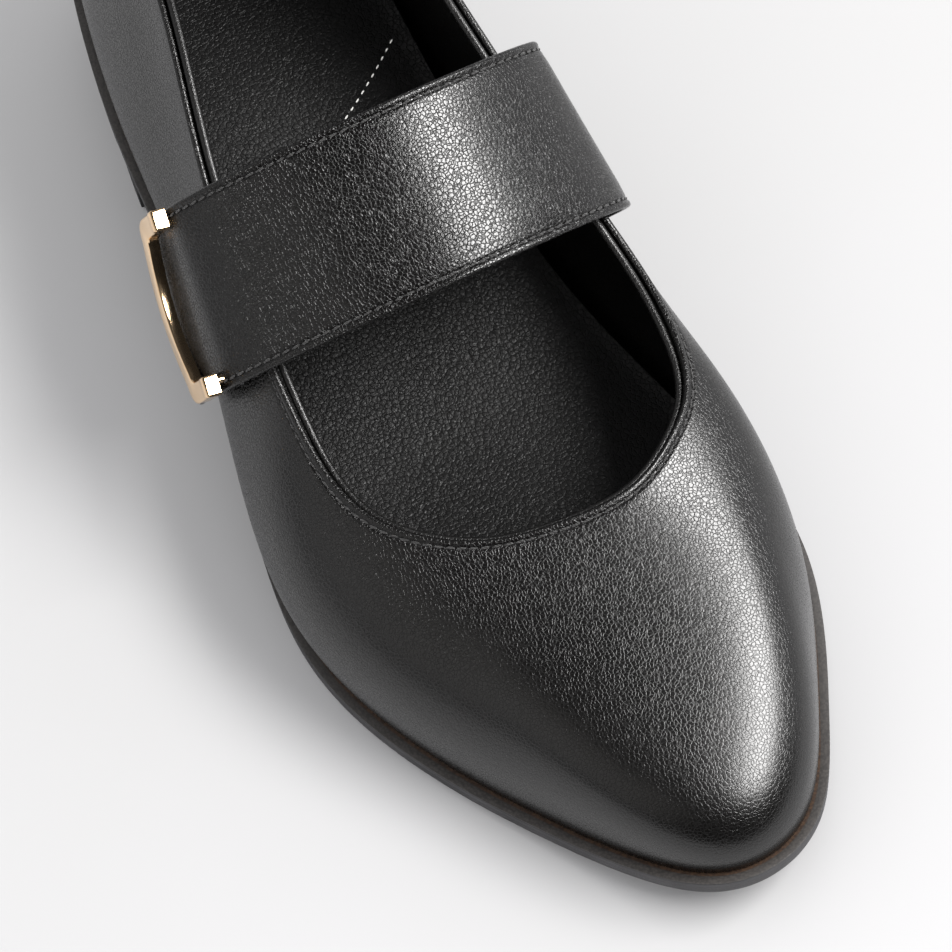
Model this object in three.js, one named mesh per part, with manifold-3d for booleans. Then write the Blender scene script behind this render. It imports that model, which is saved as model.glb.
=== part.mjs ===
// A woman's right Mary Jane shoe with a wide instep strap, as an assembly of separate pieces.
// Millimetres, +Z up, toe towards -Y, outer (lateral) side towards -X.
import * as THREE from "three";
import { mergeVertices } from "three/addons/utils/BufferGeometryUtils.js";
import Module from "manifold-3d";

const wasm = await Module();
wasm.setup();

// ---- Driving dimensions ----
const SHOE_LENGTH = 248.5; // heel to toe along the feather line, where the upper meets the sole
const BALL_WIDTH = 89.5; // across the feather line at the ball
const HEEL_HEIGHT = 25; // ground to the underside of the sole at the heel
const TOE_SPRING = 8; // ground to the underside of the sole at the toe tip
const TREAD_START = 200; // the sole lifts off the ground from here to the toe, from the heel back
const TREAD_END = 168; // and from here to the heel seat
const SEAT_FRONT = 50; // front of the level heel seat, from the heel back
const COLLAR_LIFT = 0; // added to the height of the topline all round

const SOLE_THICKNESS = 4.6; // sole and rand together
const SOLE_MARGIN = 2.2; // how far the sole stands out past the feather line
const RAND_THICKNESS = 0.9;
const RAND_WIDTH = 8;
const HEEL_BREAST = 58; // front face of the heel, from the heel back
const TOP_LIFT_THICKNESS = 6;
const HEEL_TAPER = 1.5; // the heel block is this much smaller all round at the top lift

const LEATHER = 1.2; // upper leather
const LINING = 0.8;
const STIFFENER = 0.8; // toe puff and heel counter
const LASTING_MARGIN = 9; // upper turned in under the insole
const BOARD = 1.5; // insole board
const SHANK_WIDTH = 12;
const SHANK_THICKNESS = 1.4;
const SHANK_BACK = 48; // ends of the shank, from the heel back
const SHANK_FRONT = 152;
const RIVET_RADIUS = 1.5;
const RIVET_HEAD_RADIUS = 2.6;
const RIVET_HEAD = 0.6;
const RIVET_TAIL = 0.9; // rivet below the shank
const RIVET_INSET = 6; // rivet centre from the shank's end
const FILLER_BACK = 158;
const FOAM = 3;
const SOCK = 1;
const BINDING_RADIUS = 0.8;
const LEAN_SHARE = 0.14; // share of the upper's lean by which the footbed is set in
const LINING_DROP = 1.6; // the lining stops this far below the topline, under the binding

const NAIL_RADIUS = 1.2;
const NAIL_LENGTH = 20;
const NAIL_HEAD_RADIUS = 2.4;
const NAIL_HEAD = 0.8;
const NAIL_ROWS = [16, 38]; // from the heel back
const NAIL_SPREAD = 12; // each side of the heel's middle

const STRAP_WIDTH = 35;
const STRAP_LEATHER = 1;
const STRAP_REINFORCEMENT = 0.3;
const STRAP_LINING = 0.5;
const REINFORCEMENT_MARGIN = 4.5; // the reinforcement stops this far inside the strap's edges
const STRAP_PLACE = 127; // middle of the strap at its crown, from the heel back
const STRAP_CROWN = 70; // height of that point above the ground
const STRAP_TILT = THREE.MathUtils.degToRad(30); // the strap slopes down towards the toe with the instep
const HINGE_GAP = 1; // between the sewn end and the part that opens
const HINGE_DROP = 26; // the strap folds this far below its crown, on the inner side
const PATCH = 0.8; // each half of the touch fastener
const PATCH_LENGTH = 12;
const PATCH_MARGIN = 5.5; // from the strap's edge to the patch
const STRAP_END_DROP = 40; // the free end, below the strap's crown
const STRAP_END_MARGIN = 2; // from the free end to the patch
const SEWN_DROP = 35; // from here down the strap lies on the inner quarter and is sewn to it
const SEWN_LENGTH = 12;
const SEWN_LEAN = 0.6; // how far the sewn end leans in
// The strap between its ends, from the outer side over the crown to the fold: x, and drop below the crown.
const STRAP_ARCH = [
  [-42.3, 26],
  [-41.3, 20.5],
  [-39, 16],
  [-32.3, 10],
  [-22.6, 5],
  [-12, 1.6],
  [0, 0],
  [10, 0.6],
  [19, 3],
  [28.6, 7.4],
  [35, 12.3],
  [37.9, 16.5],
  [38.8, 22],
  [38.2, 28],
];
const LATERAL_FLARE = 2.8; // how far the strap's edges lean out and in at its outer end
const MEDIAL_FLARE = 2.6; // and at its inner end
const FLARE_DROP = 30; // the flare is full this far below the crown

const TRIM_THICKNESS = 2.2;
const TRIM_BAR = 3.2;
const TRIM_ARM = 4;
const TRIM_REACH = 12.5; // length of the trim's arms, bar included
const TRIM_BAR_MIDDLE = 8; // outer edge of the bar below the middle of the trim
const TRIM_OVERHANG = 0.4; // how far the arms stand out past the strap's edges
const TRIM_CORNER = 4;
const TRIM_BEVEL = 0.4;
const TRIM_STAND_OFF = 0.5; // between the strap and the trim at the trim's middle
const TRIM_CAP = 2.4; // length of the raised end of each arm
const TRIM_CAP_RISE = 0.7;
const TRIM_BOW = 2.8; // how far the bar bows out at its middle
const TRIM_DROP = 23; // middle of the arms, below the strap's crown along the strap's side
const PRONG_RADIUS = 0.8;
const PRONG_INSET = 2.3; // prong centre from the strap's edge
const WASHER_RADIUS = 2;
const WASHER = 0.3;
const WASHER_SEAT = 1.6; // further room inside the curved strap at the washers

const GAP = 0.3; // between pieces that touch
const HOLE_CLEARANCE = 0.3; // round a nail or a prong
const ROUND_SIDES = 12; // facets of a round piece
const MERGE_DISTANCE = 1e-4; // corners nearer than this are one corner

// ---- The last: one row for each station round the shoe ----
// From the back of the heel along the outer side, round the toe and back along the inner side.
// foot: x and distance from the heel back of the feather line; top: the same for the topline, and its height
// above the feather line; swell: how far the side first bulges out and rises, then leans in and drops.
const PATTERN_LENGTH = 248.5;
const PATTERN_WIDTH = 89.5;
const STATIONS = [
  { foot: [0, 0], top: [0, 6, 58], swell: [3, 22, 1, 18] },
  { foot: [-19, 7], top: [-12.5, 10, 56], swell: [3, 22, 1, 18] },
  { foot: [-28.5, 29.5], top: [-18.5, 30.5, 50.5], swell: [3.5, 18, 0.5, 16] },
  { foot: [-34, 65], top: [-22.5, 64.5, 45], swell: [5, 16, 0.5, 14] },
  { foot: [-36, 101], top: [-30.5, 100.5, 43], swell: [6.5, 15, 1.5, 14] },
  { foot: [-42, 133], top: [-34, 133.5, 41.5], swell: [7, 16, 7, 12] },
  { foot: [-46, 165], top: [-33.5, 157, 38], swell: [6.5, 18, 13, 8] },
  { foot: [-38.5, 193.5], top: [-27.5, 171.5, 37], swell: [5, 18, 16, 7] },
  { foot: [-23.5, 220.5], top: [-17, 180, 36.5], swell: [3.5, 18, 20.5, 8] },
  { foot: [-8.5, 242], top: [-7, 183.5, 36.5], swell: [3, 18, 28, 10] },
  { foot: [5, 248.5], top: [4.5, 185, 37], swell: [3, 18, 32, 11] },
  { foot: [18.5, 242], top: [15, 184, 37.5], swell: [2.5, 18, 28, 10] },
  { foot: [29.5, 224], top: [24.5, 178.5, 37.5], swell: [2, 18, 20, 8] },
  { foot: [39, 203], top: [32, 170, 37.5], swell: [1.5, 18, 13, 7] },
  { foot: [42.5, 179], top: [35.5, 157, 38.5], swell: [1.5, 18, 6, 8.5] },
  { foot: [36, 147.5], top: [35, 139, 40], swell: [4.5, 16, 2.5, 12.5] },
  { foot: [28, 112], top: [29.5, 107, 44.5], swell: [6, 16, 2.5, 15] },
  { foot: [26.5, 68], top: [25, 68, 46], swell: [4, 16, 3, 15] },
  { foot: [26.5, 29], top: [20.5, 31, 51], swell: [4, 18, 2, 16] },
  { foot: [18, 7], top: [13, 10, 56], swell: [3, 22, 1, 18] },
];
const LATERAL_SEAM = 4.5; // stations where the vamp meets the quarters, under the strap
const MEDIAL_SEAM = 16;
const PUFF_START = 7 + 2 / 3;
const PUFF_END = 12 + 1 / 3;
const COUNTER_REACH = 2 + 2 / 3; // stations each side of the heel's back
const STATION_STEP = 1 / 3;
const ROWS = [0, 0.14, 0.28, 0.42, 0.56, 0.7, 0.85, 1]; // up a side, from feather line to topline
const PUFF_ROWS = 3; // the toe puff goes up this many rows
const COUNTER_ROWS = 6;
const STIFFENER_FADE = 1; // stations over which the lining closes up past a stiffener
const STRAP_SIDES = { lateral: [3, 6.5], medial: [17.5, 14.5] }; // stations under the strap, back to front

const lengthGrade = SHOE_LENGTH / PATTERN_LENGTH;
const widthGrade = BALL_WIDTH / PATTERN_WIDTH;
const stationCount = STATIONS.length;
const liningDepth = LEATHER + GAP; // outer face of the lining where there is no stiffener
const stiffenedDepth = liningDepth + STIFFENER + GAP;
const wallDepth = stiffenedDepth + LINING;
const randTop = -GAP;
const randBottom = randTop - RAND_THICKNESS;
const soleTop = randBottom - GAP;
const boardBottom = wallDepth + GAP;
const boardTop = boardBottom + BOARD;
const cavityInset = wallDepth + 2 * GAP;
const strapThickness = STRAP_LEATHER + STRAP_REINFORCEMENT + STRAP_LINING + 2 * GAP;

const clamp = THREE.MathUtils.clamp;

// A fifth-order ease from 0 to 1 with no curvature at its ends.
function ease(t) {
  const c = clamp(t, 0, 1);
  return c * c * c * (c * (6 * c - 15) + 10);
}

// Height of the sole's underside at a distance from the heel back.
function groundLine(s) {
  const seat = SEAT_FRONT * lengthGrade;
  const ball = TREAD_END * lengthGrade;
  const start = TREAD_START * lengthGrade;
  const spring = Math.max(0, (s - start) / (SHOE_LENGTH - start));
  return HEEL_HEIGHT * ease((ball - s) / (ball - seat)) + TOE_SPRING * spring * spring;
}

// Height of the feather line.
function featherLine(s) {
  return groundLine(s) + SOLE_THICKNESS;
}

// The shoe's own point: x, distance from the heel back, height.
function place(x, s, z) {
  return new THREE.Vector3(x, SHOE_LENGTH / 2 - s, z);
}

// Control values of a closed cubic spline that passes through the given values.
function splineThrough(values) {
  const n = values.length;
  let control = [...values];
  const rounds = 40; // each round leaves a third of the error
  for (let round = 0; round < rounds; round++) {
    const last = control;
    control = last.map((c, i) => c + values[i] - (last[(i + n - 1) % n] + 4 * c + last[(i + 1) % n]) / 6);
  }
  return control;
}

function splineAt(control, u) {
  const n = control.length;
  const i = Math.floor(u);
  const f = u - i;
  const [a, b, c, d] = [-1, 0, 1, 2].map((k) => control[(((i + k) % n) + n) % n]);
  const early = (1 - f) ** 3 * a + (3 * f ** 3 - 6 * f ** 2 + 4) * b;
  return (early + (-3 * f ** 3 + 3 * f ** 2 + 3 * f + 1) * c + f ** 3 * d) / 6;
}

const column = (pick) => splineThrough(STATIONS.map(pick));
const footX = column((row) => row.foot[0] * widthGrade);
const footS = column((row) => row.foot[1] * lengthGrade);
const topX = column((row) => row.top[0] * widthGrade);
const topS = column((row) => row.top[1] * lengthGrade);
const topHeight = column((row) => row.top[2] + COLLAR_LIFT);
const [bulgeOut, bulgeUp, leanIn, leanDrop] = [0, 1, 2, 3].map((k) => column((row) => row.swell[k]));

// Outward direction, in plan, of the feather line at a station.
function outward(u) {
  const step = 0.01;
  const dx = splineAt(footX, u + step) - splineAt(footX, u - step);
  const ds = splineAt(footS, u + step) - splineAt(footS, u - step);
  const size = Math.hypot(dx, ds);
  return [-ds / size, dx / size];
}

// A point level with the feather line, moved outward in plan and up.
function footPoint(u, out, up) {
  const [nx, ns] = outward(u);
  const s = splineAt(footS, u) + ns * out;
  return place(splineAt(footX, u) + nx * out, s, featherLine(s) + up);
}

// The outer surface of the upper: station u round the shoe, t from 0 at the feather line to 1 at the topline.
function upperPoint(u, t) {
  const [nx, ns] = outward(u);
  const s = splineAt(topS, u);
  const foot = footPoint(u, 0, 0);
  const top = place(splineAt(topX, u), s, featherLine(s) + splineAt(topHeight, u));
  const side = new THREE.Vector3(nx, -ns, 0);
  const low = foot.clone().addScaledVector(side, splineAt(bulgeOut, u));
  low.z += splineAt(bulgeUp, u);
  const high = top.clone().addScaledVector(side, splineAt(leanIn, u));
  high.z -= splineAt(leanDrop, u);
  return new THREE.CubicBezierCurve3(foot, low, high, top).getPoint(t);
}

// Outward normal of the upper, and its direction up towards the topline.
function upperFrame(u, t) {
  const step = 0.004;
  const up = upperPoint(u, t + step).sub(upperPoint(u, t - step)).normalize();
  const along = upperPoint(u + step, t).sub(upperPoint(u - step, t));
  return { normal: along.cross(up).normalize(), up };
}

// A point at a depth inside the upper's outer surface; a negative depth is outside it.
function wallPoint(u, t, depth) {
  return upperPoint(u, t).addScaledVector(upperFrame(u, t).normal, -depth);
}

// ---- Solids ----
// A mesh from vertices and triangles, turned so that its faces point out.
function closedGeometry(points, faces) {
  let volume = 0;
  for (const [a, b, c] of faces) {
    volume += points[a].dot(points[b].clone().cross(points[c]));
  }
  const index = faces.flatMap(([a, b, c]) => (volume > 0 ? [a, b, c] : [a, c, b]));
  const geometry = new THREE.BufferGeometry().setFromPoints(points);
  geometry.setIndex(index);
  geometry.computeVertexNormals();
  return geometry;
}

// A solid between two equal grids of points, which may close on itself along its rows.
function slab(outer, inner, closed = false) {
  const rows = outer.length;
  const columns = outer[0].length;
  const points = [...outer.flat(), ...inner.flat()];
  const faces = [];
  const at = (side, i, j) => side * rows * columns + (i % rows) * columns + j;
  const quad = (a, b, c, d) => faces.push([a, b, c], [a, c, d]);
  const lastRow = closed ? rows : rows - 1;
  for (let i = 0; i < lastRow; i++) {
    for (let j = 0; j < columns - 1; j++) {
      quad(at(0, i, j), at(0, i + 1, j), at(0, i + 1, j + 1), at(0, i, j + 1));
      quad(at(1, i, j), at(1, i, j + 1), at(1, i + 1, j + 1), at(1, i + 1, j));
    }
    quad(at(1, i, 0), at(1, i + 1, 0), at(0, i + 1, 0), at(0, i, 0));
    const k = columns - 1;
    quad(at(0, i, k), at(0, i + 1, k), at(1, i + 1, k), at(1, i, k));
  }
  if (!closed) {
    for (let j = 0; j < columns - 1; j++) {
      quad(at(0, 0, j), at(0, 0, j + 1), at(1, 0, j + 1), at(1, 0, j));
      const i = rows - 1;
      quad(at(1, i, j), at(1, i, j + 1), at(0, i, j + 1), at(0, i, j));
    }
  }
  return closedGeometry(points, faces);
}

// Station values from one end to the other at the shared step, so that neighbours' facets match.
function stationsBetween(from, to) {
  const inner = [];
  for (let k = Math.ceil(from / STATION_STEP); k * STATION_STEP < to; k++) {
    if (k * STATION_STEP > from) inner.push(k * STATION_STEP);
  }
  return [from, ...inner, to];
}

// The station reached by going a distance in mm along the feather line from another one.
function stationPast(u, distance) {
  const step = 0.01;
  const dx = splineAt(footX, u + step) - splineAt(footX, u);
  const ds = splineAt(footS, u + step) - splineAt(footS, u);
  return u + (distance * step) / Math.hypot(dx, ds);
}

// How fully the lining stands off a stiffener: 1 over it, 0 past its fade.
function stiffenerCover(u, t) {
  const beyondPuff = Math.max(PUFF_START - u, u - PUFF_END, 0) / STIFFENER_FADE;
  const fromHeel = Math.min(u, stationCount - u);
  const beyondCounter = Math.max(fromHeel - COUNTER_REACH, 0) / STIFFENER_FADE;
  const puff = t > ROWS[PUFF_ROWS] ? 0 : Math.max(0, 1 - beyondPuff);
  const counter = t > ROWS[COUNTER_ROWS] ? 0 : Math.max(0, 1 - beyondCounter);
  return Math.max(puff, counter);
}

function liningFace(u, t) {
  return liningDepth + (stiffenedDepth - liningDepth) * stiffenerCover(u % stationCount, t);
}

// One layer of the upper between two depths, with its margin turned in under the insole.
function wallLayer(from, to, depth, thickness, margin, rowsAt) {
  const grid = (extra) =>
    stationsBetween(from, to).map((u) => [
      footPoint(u, -margin, depth(u, 0) + extra),
      ...rowsAt(u).map((t) => {
        const d = depth(u, t) + extra;
        return t === 0 ? footPoint(u, -d, d) : wallPoint(u, t, d);
      }),
    ]);
  return slab(grid(0), grid(thickness));
}

// Rows that stop a distance in mm short of the topline.
function rowsBelow(u, drop) {
  const speed = 3 * Math.hypot(splineAt(leanIn, u), splineAt(leanDrop, u));
  return [...ROWS.slice(0, -1), 1 - drop / speed];
}

// The plan outline of the feather line moved in by an inset, as its two sides from back to front.
function outlineSides(inset) {
  const count = 400;
  const ring = [];
  for (let i = 0; i < count; i++) {
    const u = (i * stationCount) / count;
    const [nx, ns] = outward(u);
    const d = typeof inset === "function" ? inset(u) : inset;
    ring.push([splineAt(footX, u) - nx * d, splineAt(footS, u) - ns * d]);
  }
  const back = ring.reduce((best, p, i) => (p[1] < ring[best][1] ? i : best), 0);
  const turned = [...ring.slice(back), ...ring.slice(0, back + 1)];
  const front = turned.reduce((best, p, i) => (p[1] > turned[best][1] ? i : best), 0);
  return { lateral: turned.slice(0, front + 1), medial: turned.slice(front).reverse() };
}

function acrossAt(side, s) {
  let i = 1;
  while (i < side.length - 1 && side[i][1] < s) i++;
  const [a, b] = [side[i - 1], side[i]];
  return a[0] + ((b[0] - a[0]) * clamp((s - a[1]) / (b[1] - a[1]), 0, 1));
}

// A plate that follows the sole: plan insets and heights for its two faces, cut off at from and to.
function plate({ inset, lowerInset = inset, top, bottom, from = -Infinity, to = Infinity, stops = [] }) {
  const rungs = 30;
  const tipFlat = 0.05; // the ends are cut this far in, where the outline has some width
  const face = (by, height) => {
    const { lateral, medial } = outlineSides(by);
    const start = Math.max(from, lateral[0][1] + tipFlat);
    const end = Math.min(to, lateral[lateral.length - 1][1] - tipFlat);
    const even = [...Array(rungs + 1).keys()].map(
      (i) => start + ((end - start) * (1 - Math.cos((Math.PI * i) / rungs))) / 2,
    );
    for (const stop of stops) {
      if (stop <= start || stop >= end) continue;
      const away = (i) => Math.abs(even[i] - stop);
      const nearest = even.reduce((best, _, i) => (away(i) < away(best) ? i : best), 1);
      even[nearest] = stop;
    }
    return even.map((s) => [
      place(acrossAt(lateral, s), s, height(s)),
      place(acrossAt(medial, s), s, height(s)),
    ]);
  };
  return slab(face(inset, top), face(lowerInset, bottom));
}

// The x of the foot's middle line at a distance from the heel back.
const { lateral: footLateral, medial: footMedial } = outlineSides(0);
const middleAt = (s) => (acrossAt(footLateral, s) + acrossAt(footMedial, s)) / 2;

function toSolid(geometry) {
  const bare = geometry.clone();
  for (const name of ["normal", "uv"]) bare.deleteAttribute(name);
  const merged = mergeVertices(bare, MERGE_DISTANCE);
  const vertProperties = merged.attributes.position.array;
  const triVerts = new Uint32Array(merged.index.array);
  return new wasm.Manifold(new wasm.Mesh({ numProp: 3, vertProperties, triVerts }));
}

function toGeometry(solid) {
  const mesh = solid.getMesh();
  const geometry = new THREE.BufferGeometry();
  geometry.setAttribute("position", new THREE.BufferAttribute(mesh.vertProperties, 3));
  geometry.setIndex(new THREE.BufferAttribute(mesh.triVerts, 1));
  geometry.computeVertexNormals();
  return geometry;
}

function cut(geometry, tools) {
  return toGeometry(tools.reduce((solid, tool) => solid.subtract(toSolid(tool)), toSolid(geometry)));
}

function join(geometry, additions) {
  return toGeometry(additions.reduce((solid, extra) => solid.add(toSolid(extra)), toSolid(geometry)));
}

// A round peg along +Z from the origin, with a wider head on top when a head is given.
function peg(radius, length, headRadius = radius, head = 0) {
  const profile = [new THREE.Vector2(0, 0), new THREE.Vector2(radius, 0), new THREE.Vector2(radius, length)];
  if (head) {
    profile.push(new THREE.Vector2(headRadius, length), new THREE.Vector2(headRadius, length + head));
  }
  profile.push(new THREE.Vector2(0, length + head));
  return new THREE.LatheGeometry(profile, ROUND_SIDES).rotateX(Math.PI / 2);
}

// ---- Materials ----
const colour = (hex, roughness, metalness = 0) =>
  new THREE.MeshStandardMaterial({ color: hex, roughness, metalness });
const finishes = {
  leather: () => colour(0x171618, 0.42),
  lining: () => colour(0x1d1b1c, 0.7),
  sock: () => colour(0x121112, 0.65),
  board: () => colour(0x8a7a64, 0.9),
  stiffener: () => colour(0xb9b2a6, 0.85),
  foam: () => colour(0x5a5a5c, 0.95),
  filler: () => colour(0x9a7048, 0.95),
  steel: () => colour(0x9da0a3, 0.35, 0.9),
  gold: () => colour(0xd9ab84, 0.18, 1),
  rand: () => colour(0x3a2a22, 0.6),
  sole: () => colour(0x35353a, 0.75),
  heel: () => colour(0x2b2b2f, 0.7),
  fastener: () => colour(0x141414, 0.95),
};

const shoe = new THREE.Group();

function add(name, geometry, finish) {
  const mesh = new THREE.Mesh(geometry, finishes[finish]());
  mesh.name = name;
  shoe.add(mesh);
}

// ---- Upper: leather, stiffeners, linings and binding ----
const allRows = () => ROWS;
const leatherFace = () => 0;
const seamGap = GAP / 2;
const lateralSeam = [stationPast(LATERAL_SEAM, -seamGap), stationPast(LATERAL_SEAM, seamGap)];
const medialSeam = [stationPast(MEDIAL_SEAM, -seamGap), stationPast(MEDIAL_SEAM, seamGap)];
const backSeam = [stationPast(0, seamGap), stationPast(stationCount, -seamGap)];

add(
  "vamp",
  wallLayer(lateralSeam[1], medialSeam[0], leatherFace, LEATHER, LASTING_MARGIN, allRows),
  "leather",
);
add(
  "quarter_lateral",
  wallLayer(backSeam[0], lateralSeam[0], leatherFace, LEATHER, LASTING_MARGIN, allRows),
  "leather",
);
add(
  "quarter_medial",
  wallLayer(medialSeam[1], backSeam[1], leatherFace, LEATHER, LASTING_MARGIN, allRows),
  "leather",
);

const liningRows = (u) => rowsBelow(u, LINING_DROP);
add(
  "vamp_lining",
  wallLayer(lateralSeam[1], medialSeam[0], liningFace, LINING, LASTING_MARGIN, liningRows),
  "lining",
);
add(
  "quarter_lining",
  wallLayer(medialSeam[1], stationCount + lateralSeam[0], liningFace, LINING, LASTING_MARGIN, liningRows),
  "lining",
);

const stiffenerFace = () => LEATHER + GAP;
const puffRows = () => ROWS.slice(0, PUFF_ROWS + 1);
const counterRows = () => ROWS.slice(0, COUNTER_ROWS + 1);
add(
  "toe_puff",
  wallLayer(PUFF_START, PUFF_END, stiffenerFace, STIFFENER, LASTING_MARGIN, puffRows),
  "stiffener",
);
add(
  "heel_counter",
  wallLayer(
    stationCount - COUNTER_REACH,
    stationCount + COUNTER_REACH,
    stiffenerFace,
    STIFFENER,
    LASTING_MARGIN,
    counterRows,
  ),
  "stiffener",
);

// The binding is a closed bead just inside the leather's folded edge.
function bindingBead() {
  const sides = 6;
  const depth = LEATHER + GAP + BINDING_RADIUS;
  const rings = [];
  for (let k = 0; k < stationCount / STATION_STEP; k++) {
    const u = k * STATION_STEP;
    const { normal, up } = upperFrame(u, 1);
    const centre = wallPoint(u, 1, depth);
    rings.push(
      [...Array(sides + 1).keys()].map((i) => {
        const angle = (i * 2 * Math.PI) / sides;
        return centre
          .clone()
          .addScaledVector(normal, BINDING_RADIUS * Math.cos(angle))
          .addScaledVector(up, BINDING_RADIUS * Math.sin(angle));
      }),
    );
  }
  return tubeRing(rings, sides);
}

// A closed tube through rings of points.
function tubeRing(rings, sides) {
  const points = rings.flatMap((ring) => ring.slice(0, sides));
  const faces = [];
  rings.forEach((_, i) => {
    const next = (i + 1) % rings.length;
    for (let j = 0; j < sides; j++) {
      const k = (j + 1) % sides;
      const [a, b, c, d] = [i * sides + j, next * sides + j, next * sides + k, i * sides + k];
      faces.push([a, b, c], [a, c, d]);
    }
  });
  return closedGeometry(points, faces);
}
add("topline_binding", bindingBead(), "lining");

// ---- Bottom: sole, rand, board, shank, filler, footbed, heel ----
const sheetAt = (offset) => (s) => featherLine(s) + offset;
const flatAt = (height) => () => height;

const nailPlaces = NAIL_ROWS.flatMap((s) =>
  [-NAIL_SPREAD, NAIL_SPREAD].map((side) => [middleAt(s) + side, s]),
);
const nailAt = ([x, s], clearance) => {
  const wide = NAIL_HEAD_RADIUS + clearance;
  const nail = peg(NAIL_RADIUS + clearance, NAIL_LENGTH, wide, NAIL_HEAD + 2 * clearance);
  const point = place(x, s, featherLine(s) + boardTop + GAP - NAIL_LENGTH - clearance);
  return nail.translate(point.x, point.y, point.z);
};
const nailHoles = nailPlaces.map((spot) => nailAt(spot, HOLE_CLEARANCE));

const treadStops = [TREAD_END * lengthGrade, TREAD_START * lengthGrade];
const outsole = plate({
  inset: -SOLE_MARGIN,
  top: sheetAt(soleTop),
  bottom: groundLine,
  stops: treadStops,
});
add("outsole", cut(outsole, nailHoles), "sole");

// The rand is a flat ring between the upper and the sole.
function randRing() {
  const face = (height) => {
    const stations = [...Array(stationCount / STATION_STEP).keys()].map((k) => k * STATION_STEP);
    const edges = [SOLE_MARGIN, SOLE_MARGIN - RAND_WIDTH];
    return stations.map((u) => edges.map((out) => footPoint(u, out, height)));
  };
  return slab(face(randTop), face(randBottom), true);
}
add("sole_rand", randRing(), "rand");

// The board and the footbed are set in further where the upper leans in over them.
const footbedInset = (u) => cavityInset + LEAN_SHARE * splineAt(leanIn, u);
const insoleBoard = plate({ inset: footbedInset, top: sheetAt(boardTop), bottom: sheetAt(boardBottom) });

// The shank is a flat steel strip under the board, riveted to it at both ends.
const shankTop = boardBottom - GAP;
function shankStrip() {
  const steps = 16;
  const face = (height) =>
    [...Array(steps + 1).keys()].map((i) => {
      const s = SHANK_BACK + ((SHANK_FRONT - SHANK_BACK) * i) / steps;
      return [-1, 1].map((side) => place(middleAt(s) + (side * SHANK_WIDTH) / 2, s, featherLine(s) + height));
    });
  return slab(face(shankTop), face(shankTop - SHANK_THICKNESS));
}
const rivetPlaces = [SHANK_BACK + RIVET_INSET, SHANK_FRONT - RIVET_INSET];
const rivetLength = RIVET_TAIL + SHANK_THICKNESS + GAP + BOARD + GAP;
// A rivet, or with a clearance the recess for it; its tail stands out under the shank.
const rivetAt = (s, clearance) => {
  const wide = RIVET_HEAD_RADIUS + clearance;
  const rivet = peg(RIVET_RADIUS + clearance, rivetLength, wide, RIVET_HEAD + 2 * clearance);
  const point = place(middleAt(s), s, featherLine(s) + boardTop + GAP - rivetLength - clearance);
  return rivet.translate(point.x, point.y, point.z);
};
const rivetHoles = rivetPlaces.map((s) => rivetAt(s, HOLE_CLEARANCE));
add("insole_board", cut(insoleBoard, [...nailHoles, ...rivetHoles]), "board");
add("shank", cut(shankStrip(), rivetHoles), "steel");
add("shank_rivet_back", rivetAt(rivetPlaces[0], 0), "steel");
add("shank_rivet_front", rivetAt(rivetPlaces[1], 0), "steel");

add(
  "bottom_filler",
  plate({
    inset: LASTING_MARGIN + 2 * GAP,
    top: sheetAt(boardBottom - GAP),
    bottom: sheetAt(soleTop + GAP),
    from: FILLER_BACK,
  }),
  "filler",
);

const foamBottom = boardTop + GAP + NAIL_HEAD + GAP;
const foamTop = foamBottom + FOAM;
add(
  "footbed_foam",
  plate({ inset: footbedInset, top: sheetAt(foamTop), bottom: sheetAt(foamBottom) }),
  "foam",
);
add(
  "sock_lining",
  plate({ inset: footbedInset, top: sheetAt(foamTop + GAP + SOCK), bottom: sheetAt(foamTop + GAP) }),
  "sock",
);

const heelBlock = plate({
  inset: -SOLE_MARGIN,
  lowerInset: HEEL_TAPER - SOLE_MARGIN,
  top: (s) => groundLine(s) - GAP,
  bottom: flatAt(TOP_LIFT_THICKNESS + GAP),
  to: HEEL_BREAST,
});
add("heel_block", cut(heelBlock, nailHoles), "heel");
const topLift = plate({
  inset: HEEL_TAPER - SOLE_MARGIN,
  top: flatAt(TOP_LIFT_THICKNESS),
  bottom: flatAt(0),
  to: HEEL_BREAST,
});
add("heel_top_lift", topLift, "heel");
nailPlaces.forEach((spot, i) => add("heel_nail_" + (i + 1), nailAt(spot, 0), "steel"));

// ---- Strap ----
// The outer surface of a quarter at a distance from the heel back and a height, searched near the strap.
function quarterX(side, s, z) {
  const [back, front] = STRAP_SIDES[side];
  const [rounds, halvings] = [4, 18];
  let u = (back + front) / 2;
  let t = 0.5;
  for (let round = 0; round < rounds; round++) {
    let [low, high] = [0, 1];
    for (let k = 0; k < halvings; k++) {
      t = (low + high) / 2;
      if (upperPoint(u, t).z < z) low = t;
      else high = t;
    }
    let [rear, fore] = [back, front];
    for (let k = 0; k < halvings; k++) {
      u = (rear + fore) / 2;
      if (SHOE_LENGTH / 2 - upperPoint(u, t).y < s) rear = u;
      else fore = u;
    }
  }
  return upperPoint(u, t).x;
}

const halfStrap = STRAP_WIDTH / 2;
const tiltCos = Math.cos(STRAP_TILT);
const tiltSin = Math.sin(STRAP_TILT);

// Distance from the heel back and height of a point of the strap: w across it towards the toe,
// drop down its side.
const strapS = (w, drop) => STRAP_PLACE * lengthGrade + w * tiltCos - drop * tiltSin;
const strapZ = (w, drop) => STRAP_CROWN + COLLAR_LIFT - w * tiltSin - drop * tiltCos;
const strapPlace = (x, w, drop) => place(x, strapS(w, drop), strapZ(w, drop));

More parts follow.
